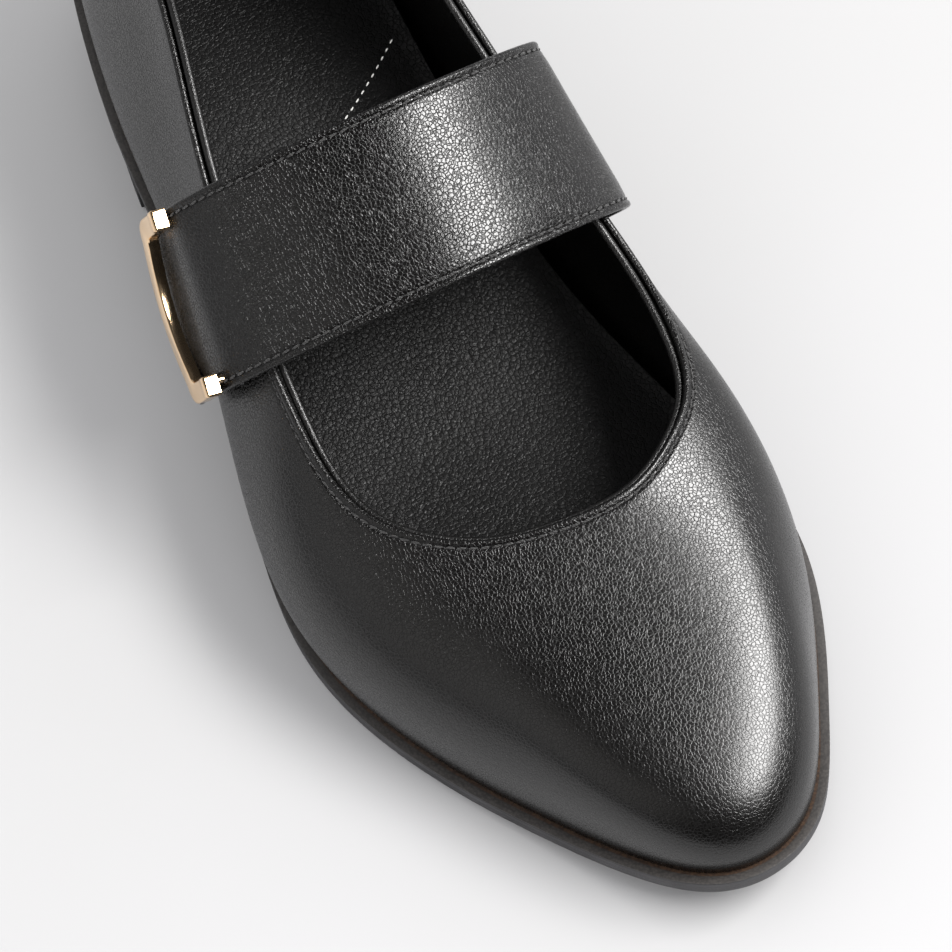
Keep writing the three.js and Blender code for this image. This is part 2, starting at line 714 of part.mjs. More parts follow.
const patchDrop = STRAP_END_DROP - STRAP_END_MARGIN - PATCH_LENGTH / 2;
const patchHalfWidth = halfStrap - PATCH_MARGIN;
const closureDepth = strapThickness + 2 * PATCH + 5 * GAP;
const strapEndX =
  quarterX("lateral", strapS(patchHalfWidth, patchDrop), strapZ(patchHalfWidth, patchDrop)) -
  closureDepth +
  (LATERAL_FLARE * patchHalfWidth) / halfStrap;
const sewnX = quarterX("medial", strapS(0, SEWN_DROP), strapZ(0, SEWN_DROP)) + GAP + strapThickness;
// The strap's outer face in cross-section, from its free end over the crown to its sewn end: x and drop.
const strapCurve = new THREE.SplineCurve(
  [
    [strapEndX, STRAP_END_DROP],
    [strapEndX, patchDrop],
    ...STRAP_ARCH.map(([x, drop]) => [x * widthGrade, drop]),
    [sewnX, SEWN_DROP],
    [sewnX - SEWN_LEAN, SEWN_DROP + SEWN_LENGTH],
  ].map(([x, drop]) => new THREE.Vector2(x, drop)),
);

const curveLength = strapCurve.getLength();

// The curve's fraction at a drop, searched from the crown towards one of its ends.
function fractionAtDrop(drop, end) {
  let [above, below] = [0.5, end];
  for (let k = 0; k < 30; k++) {
    const middle = (above + below) / 2;
    if (strapCurve.getPointAt(middle).y < drop) above = middle;
    else below = middle;
  }
  return above;
}
const outerFraction = (drop) => fractionAtDrop(drop, 0);
const innerFraction = (drop) => fractionAtDrop(drop, 1);

// The strap leans out with the foot towards the ball, more so lower down.
function flare(x, drop) {
  const most = x < 0 ? -LATERAL_FLARE : MEDIAL_FLARE;
  return (most * (1 - Math.cos((Math.PI * clamp(drop, 0, FLARE_DROP)) / FLARE_DROP))) / 2;
}

// A point of the strap: fraction along its curve, w across it, depth inside its outer face.
function strapPoint(k, w, depth) {
  const { x, y: drop } = strapCurve.getPointAt(k);
  const tangent = strapCurve.getTangentAt(k);
  const nearX = x + (flare(x, drop) * w) / halfStrap - tangent.y * depth;
  const nearDrop = drop + tangent.x * depth;
  const free = strapPlace(nearX, w, nearDrop);
  if (x < 0 || drop < HINGE_DROP) return free;
  // Past the fold the strap settles on the quarter.
  const seated = quarterX("medial", strapS(w, drop), strapZ(w, drop)) + GAP + strapThickness - depth;
  const settle = ease((drop - HINGE_DROP) / (SEWN_DROP - HINGE_DROP));
  return free.lerp(strapPlace(seated, w, drop), settle);
}

// A layer of the strap along a stretch of its curve.
// Its columns are its corners across, as shares of half its width.
const openColumns = [-1, 0, 1];
const rootColumns = [-1, -0.6, -0.2, 0.2, 0.6, 1]; // where it follows the quarter

function strapLayer({ from, to, halfWidth, depth, thickness, steps, columns = openColumns }) {
  const grid = (d) =>
    [...Array(steps + 1).keys()].map((i) =>
      columns.map((side) => strapPoint(from + ((to - from) * i) / steps, side * halfWidth, d)),
    );
  return slab(grid(depth), grid(depth + thickness));
}

const hinge = innerFraction(HINGE_DROP);
const foldStart = hinge - HINGE_GAP / 2 / curveLength;
const foldEnd = hinge + HINGE_GAP / 2 / curveLength;
const reinforcementDepth = STRAP_LEATHER + GAP;
const strapLiningDepth = reinforcementDepth + STRAP_REINFORCEMENT + GAP;
const strapSteps = 32;
const rootSteps = 10;

// The trim lies on the strap, flat across the line where its arms cross the strap's side.
const trimFraction = outerFraction(TRIM_DROP);
const trimCentre = strapPoint(trimFraction, 0, -TRIM_STAND_OFF);
const trimReach = TRIM_REACH / 4 / curveLength;
const trimDown = strapPoint(trimFraction - trimReach, 0, 0)
  .sub(strapPoint(trimFraction + trimReach, 0, 0))
  .normalize();
const trimAcross = strapPoint(trimFraction, 1, 0).sub(strapPoint(trimFraction, -1, 0)).normalize();
const trimOut = trimAcross.clone().cross(trimDown).normalize();
if (trimOut.x > 0) trimOut.negate();
const trimSide = trimOut.clone().cross(trimDown).normalize();
const trimFrame = new THREE.Matrix4().makeBasis(trimDown, trimSide, trimOut).setPosition(trimCentre);

// The trim's outline: x down the strap's side, y across the strap.
function trimOutline() {
  const outer = halfStrap + TRIM_OVERHANG;
  const inner = outer - TRIM_ARM;
  const capEnd = TRIM_BAR_MIDDLE - TRIM_REACH;
  const bar = TRIM_BAR_MIDDLE;
  const corner = TRIM_CORNER;
  const shape = new THREE.Shape();
  shape.moveTo(capEnd, -outer);
  shape.lineTo(bar - corner, -outer);
  shape.quadraticCurveTo(bar, -outer, bar, -outer + corner);
  shape.quadraticCurveTo(bar + 2 * TRIM_BOW, 0, bar, outer - corner);
  shape.quadraticCurveTo(bar, outer, bar - corner, outer);
  shape.lineTo(capEnd, outer);
  shape.lineTo(capEnd, inner);
  shape.lineTo(bar - TRIM_BAR, inner);
  shape.quadraticCurveTo(bar - TRIM_BAR + 2 * TRIM_BOW, 0, bar - TRIM_BAR, -inner);
  shape.lineTo(capEnd, -inner);
  shape.closePath();
  return shape;
}

const bevelled = (thickness) => ({
  depth: thickness - 2 * TRIM_BEVEL,
  bevelThickness: TRIM_BEVEL,
  bevelSize: TRIM_BEVEL,
  bevelOffset: -TRIM_BEVEL,
  bevelSegments: 1,
  curveSegments: 6,
});

const capMiddle = TRIM_BAR_MIDDLE - TRIM_REACH + TRIM_CAP / 2;
const prongSpots = [-1, 1].map((side) => [capMiddle, side * (halfStrap - PRONG_INSET)]);
const prongReach = strapThickness + 2 * GAP + WASHER + WASHER_SEAT;

function prong(x, y, radius, reach) {
  return peg(radius, reach + TRIM_THICKNESS / 2).translate(x, y, -reach).applyMatrix4(trimFrame);
}

function sideTrim() {
  const plateGeometry = new THREE.ExtrudeGeometry(trimOutline(), bevelled(TRIM_THICKNESS));
  plateGeometry.translate(0, 0, TRIM_BEVEL).applyMatrix4(trimFrame);
  const middle = halfStrap + TRIM_OVERHANG - TRIM_ARM / 2;
  const caps = [-1, 1].map((side) => {
    const shape = new THREE.Shape();
    const [x, y] = [TRIM_CAP / 2, TRIM_ARM / 2];
    shape.moveTo(-x, -y).lineTo(x, -y).lineTo(x, y).lineTo(-x, y).closePath();
    const cap = new THREE.ExtrudeGeometry(shape, bevelled(TRIM_THICKNESS + TRIM_CAP_RISE));
    return cap.translate(capMiddle, side * middle, TRIM_BEVEL).applyMatrix4(trimFrame);
  });
  const prongs = prongSpots.map(([x, y]) => prong(x, y, PRONG_RADIUS, prongReach));
  return join(plateGeometry, [...caps, ...prongs]);
}

function washer(x, y) {
  const hole = PRONG_RADIUS + HOLE_CLEARANCE;
  const profile = [
    [hole, 0],
    [WASHER_RADIUS, 0],
    [WASHER_RADIUS, WASHER],
    [hole, WASHER],
    [hole, 0],
  ].map(([r, h]) => new THREE.Vector2(r, h));
  const ring = new THREE.LatheGeometry(profile, ROUND_SIDES).rotateX(Math.PI / 2);
  return ring.translate(x, y, -prongReach + GAP / 2).applyMatrix4(trimFrame);
}

const prongHoles = prongSpots.map(([x, y]) => prong(x, y, PRONG_RADIUS + HOLE_CLEARANCE, prongReach + GAP));
const openPart = { from: 0, to: foldStart, halfWidth: halfStrap, steps: strapSteps };
const rootPart = { from: foldEnd, to: 1, halfWidth: halfStrap, steps: rootSteps, columns: rootColumns };
const outerLayer = { depth: 0, thickness: STRAP_LEATHER };
const innerLayer = { depth: strapLiningDepth, thickness: STRAP_LINING };
const reinforcementInset = (REINFORCEMENT_MARGIN - STRAP_LINING) / curveLength;

add("strap_outer", cut(strapLayer({ ...openPart, ...outerLayer }), prongHoles), "leather");
add(
  "strap_reinforcement",
  strapLayer({
    from: reinforcementInset,
    to: foldStart - reinforcementInset,
    halfWidth: halfStrap - REINFORCEMENT_MARGIN,
    depth: reinforcementDepth,
    thickness: STRAP_REINFORCEMENT,
    steps: strapSteps,
  }),
  "stiffener",
);
add("strap_lining", cut(strapLayer({ ...openPart, ...innerLayer }), prongHoles), "lining");
add("strap_root", strapLayer({ ...rootPart, ...outerLayer }), "leather");
add("strap_root_lining", strapLayer({ ...rootPart, ...innerLayer }), "lining");
add("side_bar_trim", sideTrim(), "gold");
add("trim_washer_back", washer(...prongSpots[0]), "steel");
add("trim_washer_front", washer(...prongSpots[1]), "steel");

// ---- Touch fastener ----
const patchSteps = 6;
const patchEnd = outerFraction(STRAP_END_DROP - STRAP_END_MARGIN);
const hookPatch = strapLayer({
  from: patchEnd,
  to: patchEnd + PATCH_LENGTH / curveLength,
  halfWidth: patchHalfWidth,
  depth: strapThickness + GAP,
  thickness: PATCH,
  steps: patchSteps,
});
add("hook_patch", hookPatch, "fastener");

// The loop half lies on the outer quarter under the strap's end.
function loopPatch() {
  const grid = (standOff) =>
    [...Array(patchSteps + 1).keys()].map((i) => {
      const drop = STRAP_END_DROP - STRAP_END_MARGIN - (PATCH_LENGTH * i) / patchSteps;
      return [-1, -0.5, 0, 0.5, 1].map((side) => {
        const w = side * patchHalfWidth;
        const x = quarterX("lateral", strapS(w, drop), strapZ(w, drop)) - standOff;
        return strapPlace(x, w, drop);
      });
    });
  return slab(grid(GAP + PATCH), grid(GAP));
}
add("loop_patch", loopPatch(), "fastener");

// The origin is the middle of the shoe's box at the ground.
const box = new THREE.Box3().setFromObject(shoe);
const middle = box.getCenter(new THREE.Vector3());
shoe.position.set(-middle.x, -middle.y, -box.min.z);

export default shoe;
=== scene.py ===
"""A woman's black leather Mary Jane with a wide instep strap and a rose-gold side bar.

Shapes are worked out in millimetres in the shoemaker's terms (station round the last, distance from the
heel back, height) and turned into metres when a piece is made.
"""

import math

import bmesh
import bpy
import numpy as np
from mathutils import Matrix, Vector
from mathutils.bvhtree import BVHTree


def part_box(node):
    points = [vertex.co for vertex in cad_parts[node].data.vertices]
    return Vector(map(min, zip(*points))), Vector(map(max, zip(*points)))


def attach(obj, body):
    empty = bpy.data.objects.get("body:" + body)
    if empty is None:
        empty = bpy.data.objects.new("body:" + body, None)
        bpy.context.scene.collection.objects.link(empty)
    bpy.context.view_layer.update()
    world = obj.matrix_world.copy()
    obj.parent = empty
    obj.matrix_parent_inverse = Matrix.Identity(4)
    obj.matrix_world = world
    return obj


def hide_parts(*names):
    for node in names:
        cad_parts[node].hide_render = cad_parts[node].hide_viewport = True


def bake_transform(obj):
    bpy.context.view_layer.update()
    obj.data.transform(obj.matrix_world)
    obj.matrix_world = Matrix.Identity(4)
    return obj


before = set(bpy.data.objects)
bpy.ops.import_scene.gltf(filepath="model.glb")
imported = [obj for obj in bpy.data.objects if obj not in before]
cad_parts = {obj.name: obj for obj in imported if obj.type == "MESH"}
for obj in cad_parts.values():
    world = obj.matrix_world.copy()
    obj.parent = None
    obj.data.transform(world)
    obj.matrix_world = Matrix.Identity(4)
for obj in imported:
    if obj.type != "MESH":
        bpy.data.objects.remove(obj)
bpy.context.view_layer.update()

MM = 0.001

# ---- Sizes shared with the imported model, in millimetres ----
SHOE_LENGTH = 248.5
HEEL_HEIGHT = 25
TOE_SPRING = 8
TREAD_START = 200
TREAD_END = 168
SEAT_FRONT = 50
SOLE_THICKNESS = 4.6
SOLE_MARGIN = 2.2
RAND_WIDTH = 8
HEEL_BREAST = 58
TOP_LIFT = 6
HEEL_TAPER = 1.5
LEATHER = 1.2
LINING = 0.8
STIFFENER = 0.8
LASTING_MARGIN = 9
BOARD = 1.5
FOAM = 3
SOCK = 1
NAIL_HEAD = 0.8
BINDING_RADIUS = 0.8
LINING_DROP = 1.6
LEAN_SHARE = 0.14
GAP = 0.3
STRAP_WIDTH = 35
STRAP_LEATHER = 1
STRAP_REINFORCEMENT = 0.3
STRAP_LINING = 0.5
STRAP_PLACE = 127
STRAP_CROWN = 70
STRAP_TILT = math.radians(30)
HINGE_DROP = 26
PATCH = 0.8
PATCH_LENGTH = 12
PATCH_MARGIN = 5.5
STRAP_END_DROP = 40
STRAP_END_MARGIN = 2
SEWN_DROP = 35
SEWN_LENGTH = 12
SEWN_LEAN = 0.6
LATERAL_FLARE = 2.8
MEDIAL_FLARE = 2.6
FLARE_DROP = 30
TRIM_THICKNESS = 2.2
TRIM_BAR = 3.2
TRIM_ARM = 4
TRIM_REACH = 12.5
TRIM_BAR_MIDDLE = 8
TRIM_OVERHANG = 0.4
TRIM_CORNER = 4
TRIM_STAND_OFF = 0.5
TRIM_CAP = 2.4
TRIM_CAP_RISE = 0.7
TRIM_BOW = 2.8
TRIM_DROP = 23
PRONG_RADIUS = 0.8
PRONG_INSET = 2.3

# The strap between its ends: x, and drop below the crown.
STRAP_ARCH = [
    (-42.3, 26), (-41.3, 20.5), (-39, 16), (-32.3, 10), (-22.6, 5), (-12, 1.6), (0, 0), (10, 0.6),
    (19, 3), (28.6, 7.4), (35, 12.3), (37.9, 16.5), (38.8, 22), (38.2, 28),
]

# The last, one row for each station, from the back of the heel along the outer side, round the toe and back.
# Feather line x and distance from the heel back; the same for the topline, and its height; how far the side
# first bulges out and rises, then leans in and drops.
STATIONS = [
    (0, 0, 0, 6, 58, 3, 22, 1, 18),
    (-19, 7, -12.5, 10, 56, 3, 22, 1, 18),
    (-28.5, 29.5, -18.5, 30.5, 50.5, 3.5, 18, 0.5, 16),
    (-34, 65, -22.5, 64.5, 45, 5, 16, 0.5, 14),
    (-36, 101, -30.5, 100.5, 43, 6.5, 15, 1.5, 14),
    (-42, 133, -34, 133.5, 41.5, 7, 16, 7, 12),
    (-46, 165, -33.5, 157, 38, 6.5, 18, 13, 8),
    (-38.5, 193.5, -27.5, 171.5, 37, 5, 18, 16, 7),
    (-23.5, 220.5, -17, 180, 36.5, 3.5, 18, 20.5, 8),
    (-8.5, 242, -7, 183.5, 36.5, 3, 18, 28, 10),
    (5, 248.5, 4.5, 185, 37, 3, 18, 32, 11),
    (18.5, 242, 15, 184, 37.5, 2.5, 18, 28, 10),
    (29.5, 224, 24.5, 178.5, 37.5, 2, 18, 20, 8),
    (39, 203, 32, 170, 37.5, 1.5, 18, 13, 7),
    (42.5, 179, 35.5, 157, 38.5, 1.5, 18, 6, 8.5),
    (36, 147.5, 35, 139, 40, 4.5, 16, 2.5, 12.5),
    (28, 112, 29.5, 107, 44.5, 6, 16, 2.5, 15),
    (26.5, 68, 25, 68, 46, 4, 16, 3, 15),
    (26.5, 29, 20.5, 31, 51, 4, 18, 2, 16),
    (18, 7, 13, 10, 56, 3, 22, 1, 18),
]
STATION_COUNT = len(STATIONS)
LATERAL_SEAM = 4.5
MEDIAL_SEAM = 16
PUFF_RANGE = (7 + 2 / 3, 12 + 1 / 3)
COUNTER_REACH = 2 + 2 / 3
STRAP_SIDES = {"lateral": (3, 6.5), "medial": (17.5, 14.5)}

# ---- Sizes of the finish, in millimetres unless a note says otherwise ----
STATION_STEP = 1 / 16  # fineness of the upper along the last, in stations
EDGE_BAND = 1.7  # from a leather edge to its row of stitches
STITCH_PITCH = 2.1
STITCH_LENGTH = 1.75
THREAD = 0.42
STITCH_SLANT = 0.12  # radians off the row's own line
GROOVE = 0.24  # how deep a row of stitches pulls the leather in
THREAD_SUNK = GROOVE * 0.55  # how deep the threads lie in it
SEAM_HALF = 0.08  # half the width of a closed seam
SEAM_ROW = 1.9  # from a closed seam to the stitches each side of it
RAND_SHOWN = 0.5  # thickness of the rand at the sole's edge
RAND_SEAM = 0.55  # inside this line the rand is undyed
TREAD_DEPTH = 0.8
HEEL_BOW = 2.0  # how far the heel's front face is hollowed
TREAD_RIM = 5  # plain border round the tread
TAPE_THICKNESS = 0.55
PILE_THREAD = 0.07
DASH_START = (-1, 37.5)  # ends of the sock's dashed line: x and y
DASH_END = (20.5, 51.2)
DASH_BOW = 0.8
SOLE_TREAD = (62, 236)  # where the studs start and end, from the heel back
LIFT_TREAD = (8, 52)

LINING_DEPTH = LEATHER + GAP
STIFFENED_DEPTH = LINING_DEPTH + STIFFENER + GAP
WALL_DEPTH = STIFFENED_DEPTH + LINING
BOARD_TOP = WALL_DEPTH + GAP + BOARD
CAVITY_INSET = WALL_DEPTH + 2 * GAP
STRAP_THICKNESS = STRAP_LEATHER + STRAP_REINFORCEMENT + STRAP_LINING + 2 * GAP
FOAM_BOTTOM = BOARD_TOP + GAP + NAIL_HEAD + GAP
FOAM_TOP = FOAM_BOTTOM + FOAM
HALF_STRAP = STRAP_WIDTH / 2


# ---- The last as a surface ----
def spline_through(values):
    """Control values of a closed cubic spline that passes through the given rows."""
    control = values.copy()
    for _ in range(40):
        control = control + values - (np.roll(control, 1, 0) + 4 * control + np.roll(control, -1, 0)) / 6
    return control


LAST = spline_through(np.array(STATIONS, float))


def last_at(u):
    """The nine measures of the last at station u, as separate arrays."""
    u = np.asarray(u, float)
    whole = np.floor(u).astype(int)
    f = (u - whole)[..., None]
    a, b, c, d = (LAST[(whole + k) % STATION_COUNT] for k in (-1, 0, 1, 2))
    row = (1 - f) ** 3 * a + (3 * f**3 - 6 * f**2 + 4) * b + (-3 * f**3 + 3 * f**2 + 3 * f + 1) * c + f**3 * d
    return np.moveaxis(row / 6, -1, 0)


def ease(t):
    c = np.clip(t, 0, 1)
    return c * c * c * (c * (6 * c - 15) + 10)


def ground_line(s):
    """Height of the sole's underside at a distance from the heel back."""
    spring = np.maximum(0, (s - TREAD_START) / (SHOE_LENGTH - TREAD_START))
    return HEEL_HEIGHT * ease((TREAD_END - s) / (TREAD_END - SEAT_FRONT)) + TOE_SPRING * spring**2


def place(x, s, z):
    x, s, z = np.broadcast_arrays(x, s, z)
    return np.stack([x, SHOE_LENGTH / 2 - s, z], -1).astype(float)


def unit(v):
    return v / np.linalg.norm(v, axis=-1, keepdims=True)


def outward(u):
    """Outward direction in plan, as x and distance from the heel back."""
    step = 0.01
    ahead, behind = last_at(u + step), last_at(u - step)
    dx, ds = ahead[0] - behind[0], ahead[1] - behind[1]
    size = np.hypot(dx, ds)
    return -ds / size, dx / size


def foot_point(u, out, up):
    """A point level with the feather line, moved outward in plan and up."""
    nx, ns = outward(u)
    row = last_at(u)
    s = row[1] + ns * out
    return place(row[0] + nx * out, s, ground_line(s) + SOLE_THICKNESS + up)


def upper_point(u, t):
    """The upper's outer surface: station u, and t from 0 at the feather line to 1 at the topline."""
    u, t = np.broadcast_arrays(np.asarray(u, float), np.asarray(t, float))
    nx, ns = outward(u)
    _, _, top_x, top_s, top_height, bulge, rise, lean, drop = last_at(u)
    foot = foot_point(u, 0, 0)
    top = place(top_x, top_s, ground_line(top_s) + SOLE_THICKNESS + top_height)
    side = np.stack([nx, -ns, np.zeros_like(nx)], -1)
    low = foot + side * bulge[..., None]
    low[..., 2] += rise
    high = top + side * lean[..., None]
    high[..., 2] -= drop
    t = t[..., None]
    return (1 - t) ** 3 * foot + 3 * t * (1 - t) ** 2 * low + 3 * t * t * (1 - t) * high + t**3 * top


def upper_normal(u, t):
    step = 0.004
    up = upper_point(u, t + step) - upper_point(u, t - step)
    along = upper_point(u + step, t) - upper_point(u - step, t)
    return unit(np.cross(along, up))


def upper_rise(u, t):
    step = 0.004
    return unit(upper_point(u, t + step) - upper_point(u, t - step))


def wall_point(u, t, depth):
    return upper_point(u, t) - upper_normal(u, t) * np.asarray(depth, float)[..., None]


def share_below_topline(u, distance):
    """The t that lies a distance down from the topline."""
    lean, drop = last_at(u)[7:9]
    return 1 - distance / (3 * np.hypot(lean, drop))


def stiffener_cover(u, t):
    """1 where a toe puff or heel counter lies under the lining, easing to 0 past it."""
    u = np.mod(u, STATION_COUNT)
    past_puff = np.maximum(np.maximum(PUFF_RANGE[0] - u, u - PUFF_RANGE[1]), 0)
    past_counter = np.maximum(np.minimum(u, STATION_COUNT - u) - COUNTER_REACH, 0)
    puff = ease(1 - past_puff) * ease((0.55 - t) / 0.13)
    counter = ease(1 - past_counter) * ease((0.97 - t) / 0.12)
    return np.maximum(puff, counter)


def lining_depth(u, t):
    return LINING_DEPTH + (STIFFENED_DEPTH - LINING_DEPTH) * stiffener_cover(u, t)


def station_past(u, distance):
    """The station a distance along the feather line from another one."""
    step = 0.01
    here, ahead = last_at(u), last_at(u + step)
    return u + distance * step / np.hypot(ahead[0] - here[0], ahead[1] - here[1])


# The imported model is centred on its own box, so the last is shifted to it by the rand's box.
rand_edge = foot_point(np.arange(0, STATION_COUNT, 1 / 3), SOLE_MARGIN, 0)
rand_box = np.array([list(corner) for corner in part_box("sole_rand")]) / MM
SHIFT = rand_box.mean(0) - (rand_edge.max(0) + rand_edge.min(0)) / 2
SHIFT[2] = 0


# ---- Meshes from grids of points ----
def new_object(name, data):
    """An object in the scene that holds a mesh, a light or a camera."""
    made = bpy.data.objects.new(name, data)
    bpy.context.scene.collection.objects.link(made)
    return made


def fix_modifiers(piece):
    """Turns what a piece's modifiers make into its plain mesh."""
    shown = piece.evaluated_get(bpy.context.evaluated_depsgraph_get())
    piece.data = bpy.data.meshes.new_from_object(shown)
    piece.modifiers.clear()


def piece_from(name, points, faces, material, smooth_angle=40):
    """A mesh object from points in millimetres, its doubles merged and its faces turned outwards."""
    mesh = bpy.data.meshes.new(name)
    mesh.from_pydata(((points + SHIFT) * MM).tolist(), [], [list(map(int, face)) for face in faces])
    built = bmesh.new()
    built.from_mesh(mesh)
    bmesh.ops.remove_doubles(built, verts=built.verts, dist=2e-6)
    bmesh.ops.recalc_face_normals(built, faces=built.faces)
    if built.calc_volume(signed=True) < 0:
        bmesh.ops.reverse_faces(built, faces=built.faces)
    built.to_mesh(mesh)
    built.free()
    mesh.materials.append(material)
    mesh.shade_smooth()
    mesh.set_sharp_from_angle(angle=math.radians(smooth_angle))
    return new_object(name, mesh)


def loop_faces(count, size, closed, capped=True):
    """Faces of a tube of closed sections; each end is closed by pairing the two sides of its section."""
    i, j = np.meshgrid(np.arange(count if closed else count - 1), np.arange(size), indexing="ij")
    here, ahead = i * size, (i + 1) % count * size
    k = (j + 1) % size
    faces = np.stack([here + j, ahead + j, ahead + k, here + k], -1).reshape(-1, 4).tolist()
    if not closed and capped:
        for start in (0, (count - 1) * size):
            for n in range(size // 2 - 1):
                faces.append([start + n, start + n + 1, start + size - 2 - n, start + size - 1 - n])
    return faces


def swept(name, sections, material, closed=False, smooth_angle=40):
    """A piece whose closed sections follow each other, open at its ends or joined in a ring."""
    sections = np.asarray(sections, float)
    count, size = sections.shape[:2]
    faces = loop_faces(count, size, closed)
    return piece_from(name, sections.reshape(-1, 3), faces, material, smooth_angle)


def paired(outer, inner):
    """Closed sections from an outer and an inner face of equal size."""
    return np.concatenate([outer, inner[:, ::-1]], 1)


def around(start, stop, step=STATION_STEP):
    count = max(2, int(round((stop - start) / step)))
    return np.linspace(start, stop, count + 1)


def edge_groove(distance, place_at=EDGE_BAND):
    """How far a folded edge stands out or is pulled in by its stitches, at a distance from the edge."""
    roll = 0.12 * np.exp(-(((distance - 0.6) / 0.55) ** 2))
    return roll - GROOVE * np.exp(-(((distance - place_at) / 0.38) ** 2))


# ---- Node helpers ----
def new_tree(name, kind, inputs, outputs):
    """A node group with named inputs (label, socket type, default) and outputs (label, socket type)."""
    tree = bpy.data.node_groups.new(name, kind)
    for label, socket_type, default in inputs:
        socket = tree.interface.new_socket(label, in_out="INPUT", socket_type=socket_type)
        if default is not None:
            socket.default_value = default
    for label, socket_type in outputs:
        tree.interface.new_socket(label, in_out="OUTPUT", socket_type=socket_type)
    return tree, tree.nodes.new("NodeGroupInput").outputs, tree.nodes.new("NodeGroupOutput").inputs


def add_node(tree, kind, inputs=(), **settings):
    """The outputs of a new node whose inputs are given values, or sockets to link from."""
    node = tree.nodes.new(kind)
    for key, value in settings.items():
        setattr(node, key, value)
    for key, value in dict(inputs).items():
        if isinstance(value, bpy.types.NodeSocket):
            tree.links.new(value, node.inputs[key])
        else:
            node.inputs[key].default_value = value
    return node.outputs


def maths(tree, operation, *inputs):
    """The result of a Math node on numbers or sockets."""
    return add_node(tree, "ShaderNodeMath", enumerate(inputs), operation=operation)[0]


def combine(tree, x=0.0, y=0.0, z=0.0):
    return add_node(tree, "ShaderNodeCombineXYZ", {"X": x, "Y": y, "Z": z})[0]


def ramp(tree, source, low, high, to_low=0.0, to_high=1.0, curve="SMOOTHSTEP"):
    """A value that eases from one number to another while the source goes from low to high."""
    inputs = {"Value": source, "From Min": low, "From Max": high, "To Min": to_low, "To Max": to_high}
    return add_node(tree, "ShaderNodeMapRange", inputs, interpolation_type=curve)[0]


def noise(tree, vector, scale, detail, roughness=0.5):
    inputs = {"Vector": vector, "Scale": scale, "Detail": detail, "Roughness": roughness}
    return add_node(tree, "ShaderNodeTexNoise", inputs)


# ---- Shared shader effects ----
def make_pebble_group():
    """Leather grain: raised pebbles between fine creases, with smaller wrinkles on them."""
    inputs = [("Vector", "NodeSocketVector", None), ("Pebble Size", "NodeSocketFloat", 0.001)]
    inputs += [("Crease", "NodeSocketFloat", 0.16), ("Wrinkle", "NodeSocketFloat", 0.3)]
    outputs = [(label, "NodeSocketFloat") for label in ("Height", "Crease Mask", "Tone")]
    tree, given, result = new_tree("pebble_grain", "ShaderNodeTree", inputs, outputs)
    scale = maths(tree, "DIVIDE", 1.0, given["Pebble Size"])
    warp = noise(tree, given["Vector"], maths(tree, "MULTIPLY", scale, 0.8), 2.0, 0.6)["Color"]
    centred = add_node(tree, "ShaderNodeVectorMath", {0: warp, 1: (0.5, 0.5, 0.5)}, operation="SUBTRACT")[0]
    reach = maths(tree, "MULTIPLY", given["Pebble Size"], 0.9)
    pushed = add_node(tree, "ShaderNodeVectorMath", {0: centred, "Scale": reach}, operation="SCALE")[0]
    where = add_node(tree, "ShaderNodeVectorMath", {0: given["Vector"], 1: pushed}, operation="ADD")[0]
    pebbles = {"Vector": where, "Scale": scale, "Randomness": 0.9}
    edges = add_node(tree, "ShaderNodeTexVoronoi", pebbles, feature="DISTANCE_TO_EDGE")
    cells = add_node(tree, "ShaderNodeTexVoronoi", pebbles)
    wrinkles = noise(tree, where, maths(tree, "MULTIPLY", scale, 2.6), 3.0, 0.6)["Fac"]
    plateau = ramp(tree, edges["Distance"], 0.0, given["Crease"], curve="SMOOTHERSTEP")
    swell = maths(tree, "POWER", cells["Distance"], 2.0)
    dome = maths(tree, "MULTIPLY_ADD", swell, -0.9, plateau)
    tree.links.new(maths(tree, "MULTIPLY_ADD", wrinkles, given["Wrinkle"], dome), result["Height"])
    tree.links.new(maths(tree, "SUBTRACT", 1.0, plateau), result["Crease Mask"])
    tree.links.new(add_node(tree, "ShaderNodeSeparateColor", {0: cells["Color"]})[0], result["Tone"])
    return tree


def make_cloudy_group():
    """Slow variation over a surface: soft patches and fine dusty specks."""
    inputs = [("Vector", "NodeSocketVector", None), ("Patch Size", "NodeSocketFloat", 0.03)]
    outputs = [(label, "NodeSocketFloat") for label in ("Patches", "Specks")]
    tree, given, result = new_tree("cloudy_wear", "ShaderNodeTree", inputs, outputs)
    scale = maths(tree, "DIVIDE", 1.0, given["Patch Size"])
    patches = noise(tree, given["Vector"], scale, 4.0, 0.55)["Fac"]
    specks = noise(tree, given["Vector"], maths(tree, "MULTIPLY", scale, 60.0), 2.0, 0.7)["Fac"]
    tree.links.new(ramp(tree, patches, 0.3, 0.7), result["Patches"])
    tree.links.new(ramp(tree, specks, 0.55, 0.8), result["Specks"])
    return tree


PEBBLES = make_pebble_group()
CLOUDS = make_cloudy_group()


